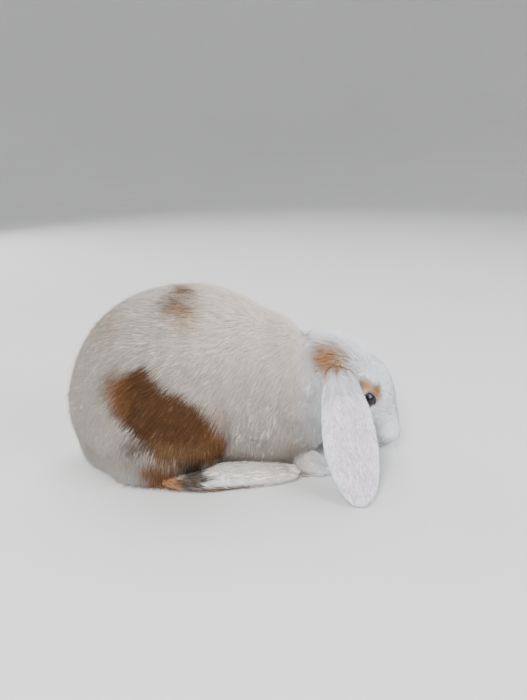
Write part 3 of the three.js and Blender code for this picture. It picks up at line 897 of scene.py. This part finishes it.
# A stray's colour is darkened as painted shade, so it looks as shaded as the coat it stands out of.
STRAY_ABOVE, STRAY_RISE, STRAY_PAINTED_SHADE, STRAY_WIDTH = 0.87, -0.55, 0.86, 0.6
HANG_BELOW, HANG_STEEP, HANG_BEHIND = (0.052, 0.026), (0.25, 0.6), (0.085, 0.060)
HANG_SHARES, HANG_OUT, HANG_WAY, HANG_LONG = (0.55, 1.0), (0.2, 0.8), (-0.12, 0, -1.0), 1.15
LOCK_SHARES, LOCK_CROWN, LOCK_SIZE = (0.0, 0.36), 0.25, 0.0042
LONGEST_TIP, LONGEST_MID = 1.25, 0.6
COLOUR_ALONG, COLOUR_STRAYS = 0.5, 0.0012  # a tuft has the colour of a place near its middle
WIDTH, WIDTH_GROWS, WIDTHS = 0.00018, 0.024, (0.7, 1.25)
EYE_MARGINS = dict(root=0.04, mid=0.01, tip=-0.05)
BODY_SUNK, LIMB_SUNK = 0.0006, 0.0004


def crown_share(p):
    """How far places are on the crown, between and behind the ears."""
    share = smooth_step(*CROWN_AHEAD, p[:, 0]) * smooth_step(*CROWN_BEHIND, p[:, 0])
    return share * smooth_step(*CROWN_ABOVE, p[:, 2])


def body_coat(name, v_low, v_high, u_low, u_high, count, seed):
    """The coat of a stretch of the body: middles half way up through it and tips at its surface.
    Low on the sides the hair hangs towards the floor, and on the crown it stands up, tousled."""
    draw = np.random.default_rng(seed)
    wanted = (BODY_V >= v_low) & (BODY_V < v_high) & (BODY_U >= u_low) & (BODY_U < u_high)
    crowding = (ROOTS_DEPTH / coat_depth(BODY[:-1])) ** ROOTS_POWER
    root, u, v = scatter(BODY, BODY_V, wanted, count, draw, crowding)
    depth = coat_depth(root)
    gradient = field_gradient(root, coat_field)
    normal = unit(gradient)
    n = len(root)
    crown = crown_share(root) * draw.uniform(*CROWN_SHARES, n)
    way = body_flow(root, normal, draw, crown)
    length = depth * (LENGTH + LENGTH_GROWS * depth) * draw.uniform(*LENGTHS, n)
    length = length * (1 + CROWN_LONGER * crown)
    mid = root + way * (MID_ALONG * length)[:, None]
    mid = settled(mid, -depth * draw.uniform(*MID_DEPTHS, n), gradient)
    tip = root + way * length[:, None]
    reach = depth * draw.uniform(*TIP_DEPTHS, n) * draw.uniform(*TIP_SHARES, n)
    stray = draw.uniform(0, 1, n) > STRAY_ABOVE
    reach = np.where(stray, STRAY_RISE * depth * draw.uniform(0, 1, n), reach)
    reach = reach - CROWN_RISE * crown * depth
    tip = settled(tip, -reach, field_gradient(tip, coat_field))
    tip = tip + normal * (CROWN_LIFT * crown * draw.uniform(0, 1, n))[:, None]
    level = np.stack([normal[:, 0], normal[:, 1], np.zeros(n)], -1)
    hang = smooth_step(*HANG_BELOW, root[:, 2])
    hang = hang * smooth_step(*HANG_STEEP, np.linalg.norm(level, axis=1))
    hang = hang * smooth_step(*HANG_BEHIND, root[:, 0]) * draw.uniform(*HANG_SHARES, n)
    low = root + unit(level) * (depth * draw.uniform(*HANG_OUT, n))[:, None]
    low = low + np.array(HANG_WAY) * (HANG_LONG * length)[:, None]
    tip = tip + (low - tip) * hang[:, None]
    tip = locks(tip, u, v, draw.uniform(*LOCK_SHARES, n) + LOCK_CROWN * crown, LOCK_SIZE)
    tip = no_longer(tip, root, LONGEST_TIP * length)
    mid = no_longer(mid, root, LONGEST_MID * length)
    seen_at = root + way * (COLOUR_ALONG * length)[:, None]
    seen_at = seen_at + draw.normal(0, COLOUR_STRAYS, root.shape)
    # strays darkened as painted shade
    colour = hair_variety(coat_colour(seen_at), draw) * np.where(stray, STRAY_PAINTED_SHADE, 1)[:, None]
    width = (WIDTH + WIDTH_GROWS * length) * draw.uniform(*WIDTHS, n)
    width = width * np.where(stray, STRAY_WIDTH, 1)
    place = np.stack([(u - u_low) / (u_high - u_low), (v - v_low) / (v_high - v_low)], -1)
    keep = ~(over_eye(root, EYE_MARGINS["root"]) | over_eye(mid, EYE_MARGINS["mid"])
             | over_eye(tip, EYE_MARGINS["tip"]))
    return tuft_piece(name, keep, root, mid, tip, normal, BODY_SUNK, width, colour, place)


# The coats of the feet, tail and ears, in the same way.
LIMB_WAVES, LIMB_SPREAD = [(0.2, 0.02, 41)], 0.14
LIMB_LENGTHS, LIMB_MID_ALONG, LIMB_MID_RISES = (0.75, 1.25), 0.42, (0.3, 0.6)
LIMB_WIDTH, LIMB_WIDTH_GROWS, LIMB_WIDTHS = 0.00015, 0.030, (0.7, 1.2)
FADING_FLATTENS = 0.85
ON_TOES, TOES_SHORTER, TOES_FLATTER = (0.56, 0.80), 0.50, 0.45
# Next to the lines between the toes the hair is darkened towards grey as painted shade.
BARE_CREASE, CREASE_PAINTED_SHADE, CREASES_FROM = 0.55, 0.75, (0.58, 0.74)
TAIL_WHITE = 0.6
EAR_BASE_AHEAD, EAR_BASE_BLEND = 0.07, (0.22, 0.08)


def tube_ways(points):
    """On a tube's grid: its normals, facing out, the ways along its skin, and along its line."""
    ahead = np.gradient(points, axis=0)
    round_it = (np.roll(points, -1, axis=1) - np.roll(points, 1, axis=1)) / 2
    normal = unit(np.cross(round_it, ahead))
    if ((points - points.mean(axis=1, keepdims=True)) * normal).sum() < 0:
        normal = -normal
    return normal, ahead, unit(np.gradient(points.mean(axis=1), axis=0))


def limb_coat(name, made, colour_of, coat, count, seed, ratio=2.6, flat=0.35, calm=1.0,
              low=0.015, high=0.985, toes=None, fading=False):
    """The coat of a foot, ear or tail: tufts that lie towards its end, inside the solid's surface.
    A foot's hair is shorter on the toes, leaves the lines between them bare and is darkened next to
    them as painted shade; fading hair is ever flatter and sparser from low to high."""
    draw = np.random.default_rng(seed)
    _, v_grid, points = made
    root, u, v = scatter(points, v_grid, (v_grid > low) & (v_grid < high), count, draw)
    normals, aheads, line_ways = tube_ways(points)
    i = np.clip(np.searchsorted(v_grid[:, 0], v) - 1, 0, len(points) - 2)
    j = (u * points.shape[1]).astype(int) % points.shape[1]
    normal = normals[i, j]
    way = along_skin(unit(unit(aheads[i, j]) + line_ways[i]), normal)
    n = len(root)
    wander = ripples(root, LIMB_WAVES) + draw.normal(0, LIMB_SPREAD, n)
    way = turned(way, normal, wander * calm)
    faded = (v - low) / (high - low) if fading else np.zeros(n)
    rise = coat * (1 - FADING_FLATTENS * faded)
    length = coat * ratio * draw.uniform(*LIMB_LENGTHS, n)
    if toes is not None:
        length = length * (1 - TOES_SHORTER * smooth_step(*ON_TOES, v))
        rise = rise * (1 - TOES_FLATTER * smooth_step(*ON_TOES, v))
    mid = root + way * (LIMB_MID_ALONG * length)[:, None]
    mid = mid + normal * (rise * draw.uniform(*LIMB_MID_RISES, n))[:, None]
    tip = root + way * length[:, None]
    tip = tip + normal * (rise * (1 - flat * draw.uniform(0, 1, n)))[:, None]
    colour = colour_of(root, u, v)
    if toes is not None:
        creases = foot_creases(root, v, toes)
        # painted shade along the lines between the toes
        colour = mixed(colour, tone("grey"), CREASE_PAINTED_SHADE * creases)
    colour = hair_variety(colour, draw)
    width = (LIMB_WIDTH + LIMB_WIDTH_GROWS * length) * draw.uniform(*LIMB_WIDTHS, n)
    keep = faded < draw.uniform(0, 1, n) if fading else np.ones(n, bool)
    if toes is not None:
        keep = creases < BARE_CREASE
    place = np.stack([u, v], -1)
    return tuft_piece(name, keep, root, mid, tip, normal, LIMB_SUNK, width, colour, place)


def foot_creases(root, v, rows):
    """How near places on a foot's coat are to the lines between its toes, on either side's foot."""
    near = np.stack([root[:, 0], -np.abs(root[:, 1]), root[:, 2]], -1)
    return toe_creases(near, v, rows) * smooth_step(*CREASES_FROM, v)


# The next four colour the roots of a limb's coat, by their places and their u and v on its tube.
def foot_coat(root, u, v):
    """The coat's own colour, for a foot."""
    return coat_colour(root)


def tail_coat(root, u, v):
    """The coat's own colour, mostly white, for the tail."""
    return mixed(coat_colour(root), tone("white"), TAIL_WHITE + 0 * u)


def ear_base_coat(root, u, v):
    """The coat's colour where the ear leaves the head, turning to the ear's own along it."""
    own = ear_colour(u, v + EAR_BASE_AHEAD)
    return mixed(own, coat_colour(root), smooth_step(*EAR_BASE_BLEND, v))


def ear_coat(root, u, v):
    """The ear's own colour."""
    return ear_colour(u, v)


# Stretches of the body's coat: from and to along it, from and to round it, how many tufts.
BODY_COATS = dict(
    coat_rump_left=(0.0, 0.20, 0.0, 0.5, 21000),
    coat_rump_right=(0.0, 0.20, 0.5, 1.0, 21000),
    coat_haunch_left=(0.20, 0.37, 0.0, 0.5, 25000),
    coat_haunch_right=(0.20, 0.37, 0.5, 1.0, 25000),
    coat_flank_left=(0.37, 0.56, 0.0, 0.5, 23000),
    coat_flank_right=(0.37, 0.56, 0.5, 1.0, 23000),
    coat_shoulders=(0.56, 0.70, 0.0, 1.0, 29000),
    coat_head=(0.70, 1.0, 0.0, 1.0, 31000),
)
TUFTS = dict(foot=4400, tail=5000, ear=11000, ear_base=5200)
EAR_PILE, EAR_BASE_PILE = 0.0006, 0.0024  # how high the hair stands, in metres
body_coats = [
    body_coat(name, *stretch, seed=100 + k) for k, (name, stretch) in enumerate(BODY_COATS.items())
]
foot_coats = [
    limb_coat("coat_" + name, LIMBS[name], foot_coat, LIMB_COATS[name[:4]], TUFTS["foot"],
              seed=200 + k, toes=FEET[name[:4]][0])
    for k, name in enumerate(LIMBS) if "foot" in name
]
foot_coats.append(limb_coat("coat_tail", LIMBS["tail"], tail_coat, LIMB_COATS["tail"],
                            TUFTS["tail"], seed=210, ratio=1.9, calm=1.3))
ear_coats = [
    limb_coat("coat_" + name, EARS[name], ear_coat, EAR_PILE, TUFTS["ear"], seed=300 + k,
              ratio=7.0, calm=0.3, flat=0.7)
    for k, name in enumerate(EARS)
]
ear_coats += [
    limb_coat("coat_base_of_" + name, EARS[name], ear_base_coat, EAR_BASE_PILE,
              TUFTS["ear_base"], seed=320 + k, ratio=3.6, calm=1.3, low=0.02, high=0.34,
              fading=True)
    for k, name in enumerate(EARS)
]

# ---- eyes, lids, claws and whiskers ---------------------------------------------------------

def ball(middle, radius, axes, around, along):
    """A sphere whose pole looks along the first axis: a point is middle + radius * direction."""
    u, v = grid(around, along)
    angle = np.pi * v
    ring = np.sin(angle)[..., None] * (axes[1] * np.cos(2 * np.pi * u)[..., None]
                                       + axes[2] * np.sin(2 * np.pi * u)[..., None])
    return angle, u, middle + radius * (ring + axes[0] * np.cos(angle)[..., None])


WHOLE_MAP = (0.01, 0.01, 0.99, 0.99)
EYE_GRID, LID_GRID = (96, 72), (96, 22)  # points round and along
# Where each colour of the eye begins and ends, in radians from the gaze, and the iris's rays.
IRIS_EDGE = (PUPIL_ANGLE - 0.05, PUPIL_ANGLE + 0.06)
IRIS_RIM_EDGE = (IRIS_ANGLE - 0.12, IRIS_ANGLE)
EYEBALL_EDGE = (IRIS_ANGLE + 0.16, IRIS_ANGLE + 0.3)
RAYS, RAYS_BEND, RAYS_BENDS = 46, 2, 9


def eye_colour(angle, u):
    """Pupil, iris with fine rays, dark rim and pale ball behind it, by the angle from the gaze."""
    bend = RAYS_BEND * np.sin(2 * np.pi * u * RAYS_BENDS)
    rays = 0.5 + 0.5 * np.sin(2 * np.pi * u * RAYS + bend)
    iris = tone("iris") * (0.75 + 0.5 * rays[..., None])
    colour = np.zeros(angle.shape + (3,)) + tone("pupil")
    colour = mixed(colour, iris, smooth_step(*IRIS_EDGE, angle))
    colour = mixed(colour, tone("iris_rim"), smooth_step(*IRIS_RIM_EDGE, angle))
    return mixed(colour, tone("eyeball"), smooth_step(*EYEBALL_EDGE, angle))


def eye_piece(name, side):
    """One eyeball."""
    work = Patchwork()
    angle, u, points = ball(eye_middle(side), EYE_RADIUS, eye_axes(side), *EYE_GRID)
    work.add(points, eye_colour(angle, u), WHOLE_MAP)
    return work.build(name)


# The lids: how far they open past the eye's opening, roll out from the ball, and part in front.
LID_OPEN, LID_ROLL, LID_LEAN = 0.04, 0.16, 0.05  # radians
LID_LIFT, LID_THICK, LID_TUCK = 0.0003, 0.0010, 0.0002  # metres
CORNER_PINCH, CORNER_WIDTH, CORNER_PINK, CORNER = 0.16, 0.05, 0.8, (0.90, 0.99)
PALE_LID = (0.05, 0.16), (0.60, 0.45)  # of the way round the roll, from dark and back to it


def lid_piece(name, side):
    """The lids: a soft rim round the opening that rolls from the ball out and under the coat.
    Each ray of the ring leans from the gaze by the opening's half angle, widened from 0 to 1."""
    work = Patchwork()
    gaze, along, across = eye_axes(side)
    u, v = grid(*LID_GRID)
    round_it, turn = 2 * np.pi * u, 2 * np.pi * v
    pinch = 1 + CORNER_PINCH * np.exp(-((np.cos(round_it) - 1) / CORNER_WIDTH) ** 2)
    above = np.sin(round_it) * np.sign(across[2]) > 0
    angle = opening(round_it, above) * pinch + LID_OPEN
    angle = angle + LID_ROLL * (1 - np.cos(turn)) - LID_LEAN * np.sin(turn)
    radius = EYE_RADIUS + LID_LIFT + LID_THICK * np.sin(turn) - LID_TUCK * (1 - np.cos(turn))
    ring = along * np.cos(round_it)[..., None] + across * np.sin(round_it)[..., None]
    way = gaze * np.cos(angle)[..., None] + ring * np.sin(angle)[..., None]
    points = eye_middle(side) + way * radius[..., None]
    points[-1] = points[0]
    outer = smooth_step(*PALE_LID[0], v) * smooth_step(*PALE_LID[1], v)
    colour = mixed(tone("lid_edge") + 0 * points, tone("lid"), outer)
    colour = mixed(colour, tone("pink"), CORNER_PINK * smooth_step(*CORNER, np.cos(round_it)))
    work.add(points, colour, WHOLE_MAP)
    return work.build(name)


ROOT_SWELLS = 40  # a hair is at its thickest after one part in this many of its length


def hair_tube(starts, ways, ends, thickness, bend, along=9, around=5):
    """Fine tapering hairs, one grid each: start + (end - start) t + bend * 4t(1 - t), at t from 0
    to 1, with a ring of points round each place on the line."""
    t = np.linspace(0, 1, along)[None, :, None]
    line = starts[:, None] + (ends - starts)[:, None] * t + bend[:, None] * (t * (1 - t) * 4)
    ahead = unit(np.gradient(line, axis=1))
    side = unit(np.cross(ahead, ways[:, None]))
    over = np.cross(side, ahead)
    angle = 2 * np.pi * np.arange(around) / around
    closing = np.minimum(1, np.sqrt(np.clip(1 - t, 0, 1))) * np.minimum(1, t * ROOT_SWELLS)
    radius = thickness[:, None, None] * closing
    ring = (side[:, :, None] * np.cos(angle)[:, None] + over[:, :, None] * np.sin(angle)[:, None])
    return line[:, :, None] + ring * radius[..., None]


LASHES, LASHES_FROM, LASHES_TO, LASHES_WANDER = 22, 0.35, 2.7, 0.04  # turns round the gaze
LASH_OUT, LASH_LIFT, LASH_THICK = 0.06, 0.0006, 0.00011
LASH_WAY = (0.75, 0.75, -0.35)  # with the gaze, out from the opening, and along the face
LASH_LENGTHS, LASH_BENDS = (0.0028, 0.0045), (0.0002, 0.0006)


def lash_piece(name, side):
    """Short dark lashes along the upper lid, bent up and out."""
    draw = np.random.default_rng(71)
    gaze, along, across = eye_axes(side)
    up = across * np.sign(across[2])
    turn = np.linspace(LASHES_FROM, LASHES_TO, LASHES) + draw.normal(0, LASHES_WANDER, LASHES)
    ring = along * np.cos(turn)[:, None] + up * np.sin(turn)[:, None]
    wide = (opening(turn, True) + LASH_OUT)[:, None]
    starts = gaze * np.cos(wide) + ring * np.sin(wide)
    starts = eye_middle(side) + starts * (EYE_RADIUS + LASH_LIFT)
    ways = unit(gaze * LASH_WAY[0] + ring * LASH_WAY[1] + along * LASH_WAY[2])
    ends = starts + ways * draw.uniform(*LASH_LENGTHS, (LASHES, 1))
    hairs = hair_tube(starts, np.tile(along, (LASHES, 1)), ends, np.full(LASHES, LASH_THICK),
                      gaze * draw.uniform(*LASH_BENDS, (LASHES, 1)))
    work = Patchwork()
    for k, hair in enumerate(hairs):
        work.add(hair, tone("lash") + 0 * hair,
                 (k / LASHES + 0.004, 0.02, (k + 1) / LASHES - 0.004, 0.98))
    return work.build(name)


# Whisker roots: steps back and up from WHISKER_AT; a step back is WHISKER_BACK in x and in y.
WHISKER_ROOTS = [(-0.010, 0.004), (-0.010, 0.000), (-0.013, 0.002), (-0.013, -0.004),
                 (-0.016, 0.003), (-0.016, -0.001), (-0.019, 0.002), (-0.019, -0.005),
                 (-0.022, 0.0)]
WHISKER_AT, WHISKER_BACK = (0.1435, 0.0105, 0.0245), (0.35, 0.25)
WHISKER_AHEAD, WHISKER_RISE = (-0.1, 0.28), (-0.62, -0.1)
WHISKER_LENGTHS, WHISKER_BENDS = (0.022, 0.040), (0.001, 0.003)
WHISKER_THICK, WHISKER_SUNK, WHISKER_LOW = 0.00019, 0.002, 0.001


def whisker_piece():
    """Whiskers from both sides of the muzzle, out and down, rooted under the skin."""
    draw = np.random.default_rng(61)
    work = Patchwork()
    x, y, z = WHISKER_AT
    for side in (-1, 1):
        starts, ends, bends = [], [], []
        for back, rise in WHISKER_ROOTS:
            at = np.array([x + WHISKER_BACK[0] * back,
                           HEAD_SHIFT + side * (y - WHISKER_BACK[1] * back), z + rise])
            way = unit(np.array([draw.uniform(*WHISKER_AHEAD), side, draw.uniform(*WHISKER_RISE)]))
            starts.append(at)
            ends.append(at + way * draw.uniform(*WHISKER_LENGTHS))
            bends.append([0, 0, draw.uniform(*WHISKER_BENDS)])
        starts, ends, bends = np.array(starts), np.array(ends), np.array(bends)
        starts = settled(starts, -WHISKER_SUNK, field_gradient(starts, body_field), 4)
        ends[:, 2] = np.maximum(ends[:, 2], WHISKER_LOW)
        hairs = hair_tube(starts, np.tile([1.0, 0, 0.2], (len(starts), 1)), ends,
                          np.full(len(starts), WHISKER_THICK), bends)
        for k, hair in enumerate(hairs):
            column = (k + 0.5 + (side > 0) * len(hairs)) / (2 * len(hairs))
            tile = (column - 0.02, 0.02, column + 0.02, 0.98)
            work.add(hair, tone("whisker") + 0 * hair, tile)
    return work.build("whiskers")


CLAW_SPREAD = np.array([-0.66, -0.24, 0.24, 0.66])  # across the foot, as shares of its half width
CLAW_AT, CLAW_BELOW, CLAW_FAN, CLAW_DOWN = 0.90, 0.0012, 0.22, 0.12
CLAW_START_LOW, CLAW_END_LOW, CLAW_BEND, CLAW_THICK = 0.0022, 0.0012, 0.0006, 0.0009
CLAW_SHADES = (0.55, 1.0)  # from its root to its tip


def claw_rows(rows, facing):
    """Starts and ways of four claws at the front of a foot, in a fan."""
    row, ahead, across, over = tube_frame(rows, np.full(4, CLAW_AT), facing)
    start = row[:, :3] + across * (row[:, 3] * CLAW_SPREAD)[:, None] - over * CLAW_BELOW
    way = unit(ahead + across * (CLAW_FAN * CLAW_SPREAD)[:, None] - over * CLAW_DOWN)
    return start, way


def claw_piece(name, rows, facing, length, left):
    """Four short horn claws, each a bent tapering cone."""
    work = Patchwork()
    start, way = claw_rows(rows, facing)
    ends = start + way * length
    ends[:, 2] = np.maximum(ends[:, 2], CLAW_END_LOW)
    start[:, 2] = np.maximum(start[:, 2], CLAW_START_LOW)
    bend = np.tile([0, 0, CLAW_BEND], (4, 1))
    claws = hair_tube(start, np.tile([0.0, 0.0, 1.0], (4, 1)), ends, np.full(4, CLAW_THICK), bend,
                      along=12, around=12)
    for k, claw in enumerate(claws):
        if left:
            claw = to_left(claw, 0.0)
        shade = np.linspace(*CLAW_SHADES, claw.shape[0])[:, None, None]
        work.add(above_floor(claw), shade * tone("claw") + 0 * claw,
                 (0.02 + 0.25 * k, 0.02, 0.22 + 0.25 * k, 0.98))
    return work.build(name)


eyes = [eye_piece("eyeball_right", -1), eye_piece("eyeball_left", 1)]
lids = [lid_piece("lids_right", -1), lid_piece("lids_left", 1)]
lashes = [lash_piece("lashes_right", -1), lash_piece("lashes_left", 1)]
whiskers = whisker_piece()
claws = [
    claw_piece(f"claws_{kind}_{side}", rows, UP, length, side == "left")
    for kind, rows, length in (("hind", HIND_FOOT, 0.0085), ("fore", FORE_FOOT, 0.0066))
    for side in ("right", "left")
]

# ---- materials ------------------------------------------------------------------------------


def node(tree, kind, **values):
    """A shader node with its own settings and the values of its named inputs."""
    made = tree.nodes.new(kind)
    for key, value in values.items():
        if hasattr(made, key):
            setattr(made, key, value)
        else:
            made.inputs[key.replace("_", " ")].default_value = value
    return made


STREAK_SCALE, STREAK_TURN = (0.45, 1.0, 0.8), (0.0, 0.7, 0.0)
BROAD_SCALE = 45.0


def grain_group():
    """Fine streaks over a colour: two stretched noises lighten and darken it, and give a height."""
    group = bpy.data.node_groups.new("hair_grain", "ShaderNodeTree")
    for in_out, name, kind in (
        ("INPUT", "Colour", "Color"), ("INPUT", "Scale", "Float"), ("INPUT", "Amount", "Float"),
        ("OUTPUT", "Colour", "Color"), ("OUTPUT", "Height", "Float"),
    ):
        group.interface.new_socket(name=name, in_out=in_out, socket_type="NodeSocket" + kind)
    entry, leave = group.nodes.new("NodeGroupInput"), group.nodes.new("NodeGroupOutput")
    place = node(group, "ShaderNodeTexCoord")
    stretch = node(group, "ShaderNodeMapping")
    stretch.inputs["Scale"].default_value = STREAK_SCALE
    stretch.inputs["Rotation"].default_value = STREAK_TURN
    group.links.new(place.outputs["Object"], stretch.inputs["Vector"])
    fine = node(group, "ShaderNodeTexNoise", Detail=4.0, Roughness=0.6)
    group.links.new(stretch.outputs["Vector"], fine.inputs["Vector"])
    group.links.new(entry.outputs["Scale"], fine.inputs["Scale"])
    broad = node(group, "ShaderNodeTexNoise", Scale=BROAD_SCALE, Detail=2.0)
    group.links.new(place.outputs["Object"], broad.inputs["Vector"])
    both = node(group, "ShaderNodeMath", operation="ADD")
    group.links.new(fine.outputs["Fac"], both.inputs[0])
    group.links.new(broad.outputs["Fac"], both.inputs[1])
    centred = node(group, "ShaderNodeMath", operation="SUBTRACT")
    centred.inputs[1].default_value = 1.0
    group.links.new(both.outputs[0], centred.inputs[0])
    scaled = node(group, "ShaderNodeMath", operation="MULTIPLY_ADD")
    scaled.inputs[2].default_value = 1.0
    group.links.new(centred.outputs[0], scaled.inputs[0])
    group.links.new(entry.outputs["Amount"], scaled.inputs[1])
    tinted = node(group, "ShaderNodeVectorMath", operation="SCALE")
    group.links.new(entry.outputs["Colour"], tinted.inputs[0])
    group.links.new(scaled.outputs[0], tinted.inputs["Scale"])
    group.links.new(tinted.outputs[0], leave.inputs["Colour"])
    group.links.new(fine.outputs["Fac"], leave.inputs["Height"])
    return group


GRAIN = grain_group()
BUMP_DISTANCE = 0.001


def finish_of(name, scale, amount, bump, roughness, **sockets):
    """A material: the piece's own tint with grain over it, a bump from the grain, plain gloss."""
    material = bpy.data.materials.new(name)
    material.use_nodes = True
    tree = material.node_tree
    shader = tree.nodes["Principled BSDF"]
    tint = node(tree, "ShaderNodeAttribute")
    tint.attribute_name = "tint"
    grain = tree.nodes.new("ShaderNodeGroup")
    grain.node_tree = GRAIN
    grain.inputs["Scale"].default_value = scale
    grain.inputs["Amount"].default_value = amount
    tree.links.new(tint.outputs["Color"], grain.inputs["Colour"])
    tree.links.new(grain.outputs["Colour"], shader.inputs["Base Color"])
    if bump:
        raised = node(tree, "ShaderNodeBump", Strength=bump, Distance=BUMP_DISTANCE)
        tree.links.new(grain.outputs["Height"], raised.inputs["Height"])
        tree.links.new(raised.outputs["Normal"], shader.inputs["Normal"])
    shader.inputs["Roughness"].default_value = roughness
    for key, value in sockets.items():
        shader.inputs[key.replace("_", " ")].default_value = value
    return material


FINISHES = dict(
    coat=finish_of("soft_coat", 700.0, 0.20, 0.0, 0.95, Specular_IOR_Level=0.2),
    skin=finish_of("furred_skin", 900.0, 0.25, 0.25, 0.9, Sheen_Weight=0.04, Sheen_Roughness=0.5),
    ear=finish_of("ear_velvet", 1200.0, 0.12, 0.0, 0.85, Sheen_Weight=0.08, Sheen_Roughness=0.4),
    eye=finish_of("wet_eye", 1500.0, 0.10, 0.0, 0.05, Specular_IOR_Level=0.35),
    lid=finish_of("lid_skin", 1500.0, 0.3, 0.4, 0.45),
    claw=finish_of("horn", 600.0, 0.35, 0.2, 0.35),
    whisker=finish_of("whisker_hair", 900.0, 0.1, 0.0, 0.4),
)


def dress(piece, finish, slot, *stands_for):
    """A piece gets its material and its body, and the nodes it stands for are hidden; its slot is
    not used.
    """
    piece.data.materials.append(FINISHES[finish])
    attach(piece, "root")
    if stands_for:
        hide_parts(*stands_for)


EYE_NODES = ("eye_right", "eye_left")
dress(skin, "skin", "coat_white", *[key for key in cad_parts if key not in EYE_NODES])
for piece in body_coats + foot_coats:
    dress(piece, "coat", "coat_brown" if "haunch" in piece.name else "coat_white")
for piece in ear_coats:
    dress(piece, "ear", "ear")
for piece, stands_for in zip(eyes, EYE_NODES):
    dress(piece, "eye", "eye", stands_for)
for piece in lids:
    dress(piece, "lid", "skin")
for piece in lashes:
    dress(piece, "whisker", "coat_brown")
for piece in claws:
    dress(piece, "claw", "claw")
dress(whiskers, "whisker", "coat_white")

# ---- floor, light and camera ----------------------------------------------------------------


FLOOR_FLAT, FLOOR_BEND_OUT, FLOOR_BEND_UP, FLOOR_TOP = 2.2, 1.2, 1.2, 6.0
FLOOR_AROUND = 64
FLOOR_GREYS = dict(low=0.62, high=0.66)


def studio_floor():
    """A round floor that sweeps up into a wall: a profile of radius and height, carried round z."""
    bend = np.linspace(0, np.pi / 2, 20)
    radius = np.concatenate([[0.001, 1.0], FLOOR_FLAT + FLOOR_BEND_OUT * np.sin(bend),
                             [FLOOR_FLAT + FLOOR_BEND_OUT]])
    height = np.concatenate([[0.0, 0.0], FLOOR_BEND_UP - FLOOR_BEND_UP * np.cos(bend),
                             [FLOOR_TOP]])
    turn = 2 * np.pi * np.arange(FLOOR_AROUND) / FLOOR_AROUND
    points = np.stack([radius[:, None] * np.cos(turn), radius[:, None] * np.sin(turn),
                       np.tile(height[:, None], (1, FLOOR_AROUND))], -1)
    faces = grid_faces(len(radius), FLOOR_AROUND)
    mesh = bpy.data.meshes.new("floor")
    mesh.from_pydata(points.reshape(-1, 3).tolist(), [], faces.tolist())
    mesh.materials.append(floor_finish())
    return placed("floor", mesh)


def floor_finish():
    """A pale matt grey that wanders a very little."""
    material = bpy.data.materials.new("pale_floor")
    material.use_nodes = True
    tree = material.node_tree
    shader = tree.nodes["Principled BSDF"]
    place = node(tree, "ShaderNodeTexCoord")
    cloud = node(tree, "ShaderNodeTexNoise", Scale=3.0, Detail=2.0)
    ramp = node(tree, "ShaderNodeMapRange")
    ramp.inputs["To Min"].default_value = FLOOR_GREYS["low"]
    ramp.inputs["To Max"].default_value = FLOOR_GREYS["high"]
    tree.links.new(place.outputs["Object"], cloud.inputs["Vector"])
    tree.links.new(cloud.outputs["Fac"], ramp.inputs["Value"])
    tree.links.new(ramp.outputs["Result"], shader.inputs["Base Color"])
    shader.inputs["Roughness"].default_value = 0.85
    return material


def stand(made, at, right, up, back):
    """An object stood at a place, with unit vectors for its own three axes."""
    rows = [[right[k], up[k], back[k], at[k]] for k in range(3)]
    made.matrix_world = Matrix(rows + [[0, 0, 0, 1]])


def soft_light(name, at, target, size, power, tint):
    """A square area light that looks at a place."""
    lamp = bpy.data.lights.new(name, "AREA")
    lamp.shape, lamp.size, lamp.energy, lamp.color = "SQUARE", size, power, tint
    back = unit(np.array(at, float) - np.array(target, float))
    right = unit(np.cross(UP, back))
    stand(placed(name, lamp), at, right, np.cross(back, right), back)


# Each light: where it is, where it looks, its size in metres, its power in watts and its tint.
LIGHTS = dict(
    key=((-0.35, -1.2, 1.15), (0.02, 0, 0.06), 0.45, 44, (1.0, 0.985, 0.96)),
    fill=((1.3, -0.7, 0.9), (0.05, 0, 0.06), 0.9, 26, (0.93, 0.97, 1.0)),
    top=((0.2, 0.9, 1.6), (0, 0, 0.05), 1.2, 24, (1, 1, 1)),
    back=((-1.1, 1.0, 0.7), (-0.02, 0, 0.06), 1.0, 15, (1, 1, 1)),
)

studio_floor()
for name, light in LIGHTS.items():
    soft_light(name, *light)
ROOM_TINT, ROOM_STRENGTH = (0.95, 0.97, 1.0, 1.0), 0.55
world = bpy.data.worlds.new("soft_room")
world.use_nodes = True
room = world.node_tree.nodes["Background"]
room.inputs["Color"].default_value = ROOM_TINT
room.inputs["Strength"].default_value = ROOM_STRENGTH
bpy.context.scene.world = world

CAMERA_AT = (0.0265, -0.413, 0.2587)  # in the rabbit's own frame
CAMERA_PITCH, CAMERA_ROLL = math.radians(21.06), math.radians(1.285)
LENS, SENSOR = 26.743, 36.0


def aim_camera():
    """The camera: level across, pitched down, then rolled a little about its line of sight."""
    lens = bpy.data.cameras.new("camera")
    lens.lens, lens.sensor_width = LENS, SENSOR
    forward = np.array([0, math.cos(CAMERA_PITCH), -math.sin(CAMERA_PITCH)])
    level = np.array([1.0, 0, 0])
    down = np.cross(forward, level)
    right = math.cos(CAMERA_ROLL) * level + math.sin(CAMERA_ROLL) * down
    below = -math.sin(CAMERA_ROLL) * level + math.cos(CAMERA_ROLL) * down
    made = placed("camera", lens)
    stand(made, np.array(CAMERA_AT) + ROW_SHIFT, right, -below, -forward)
    bpy.context.scene.camera = made


aim_camera()
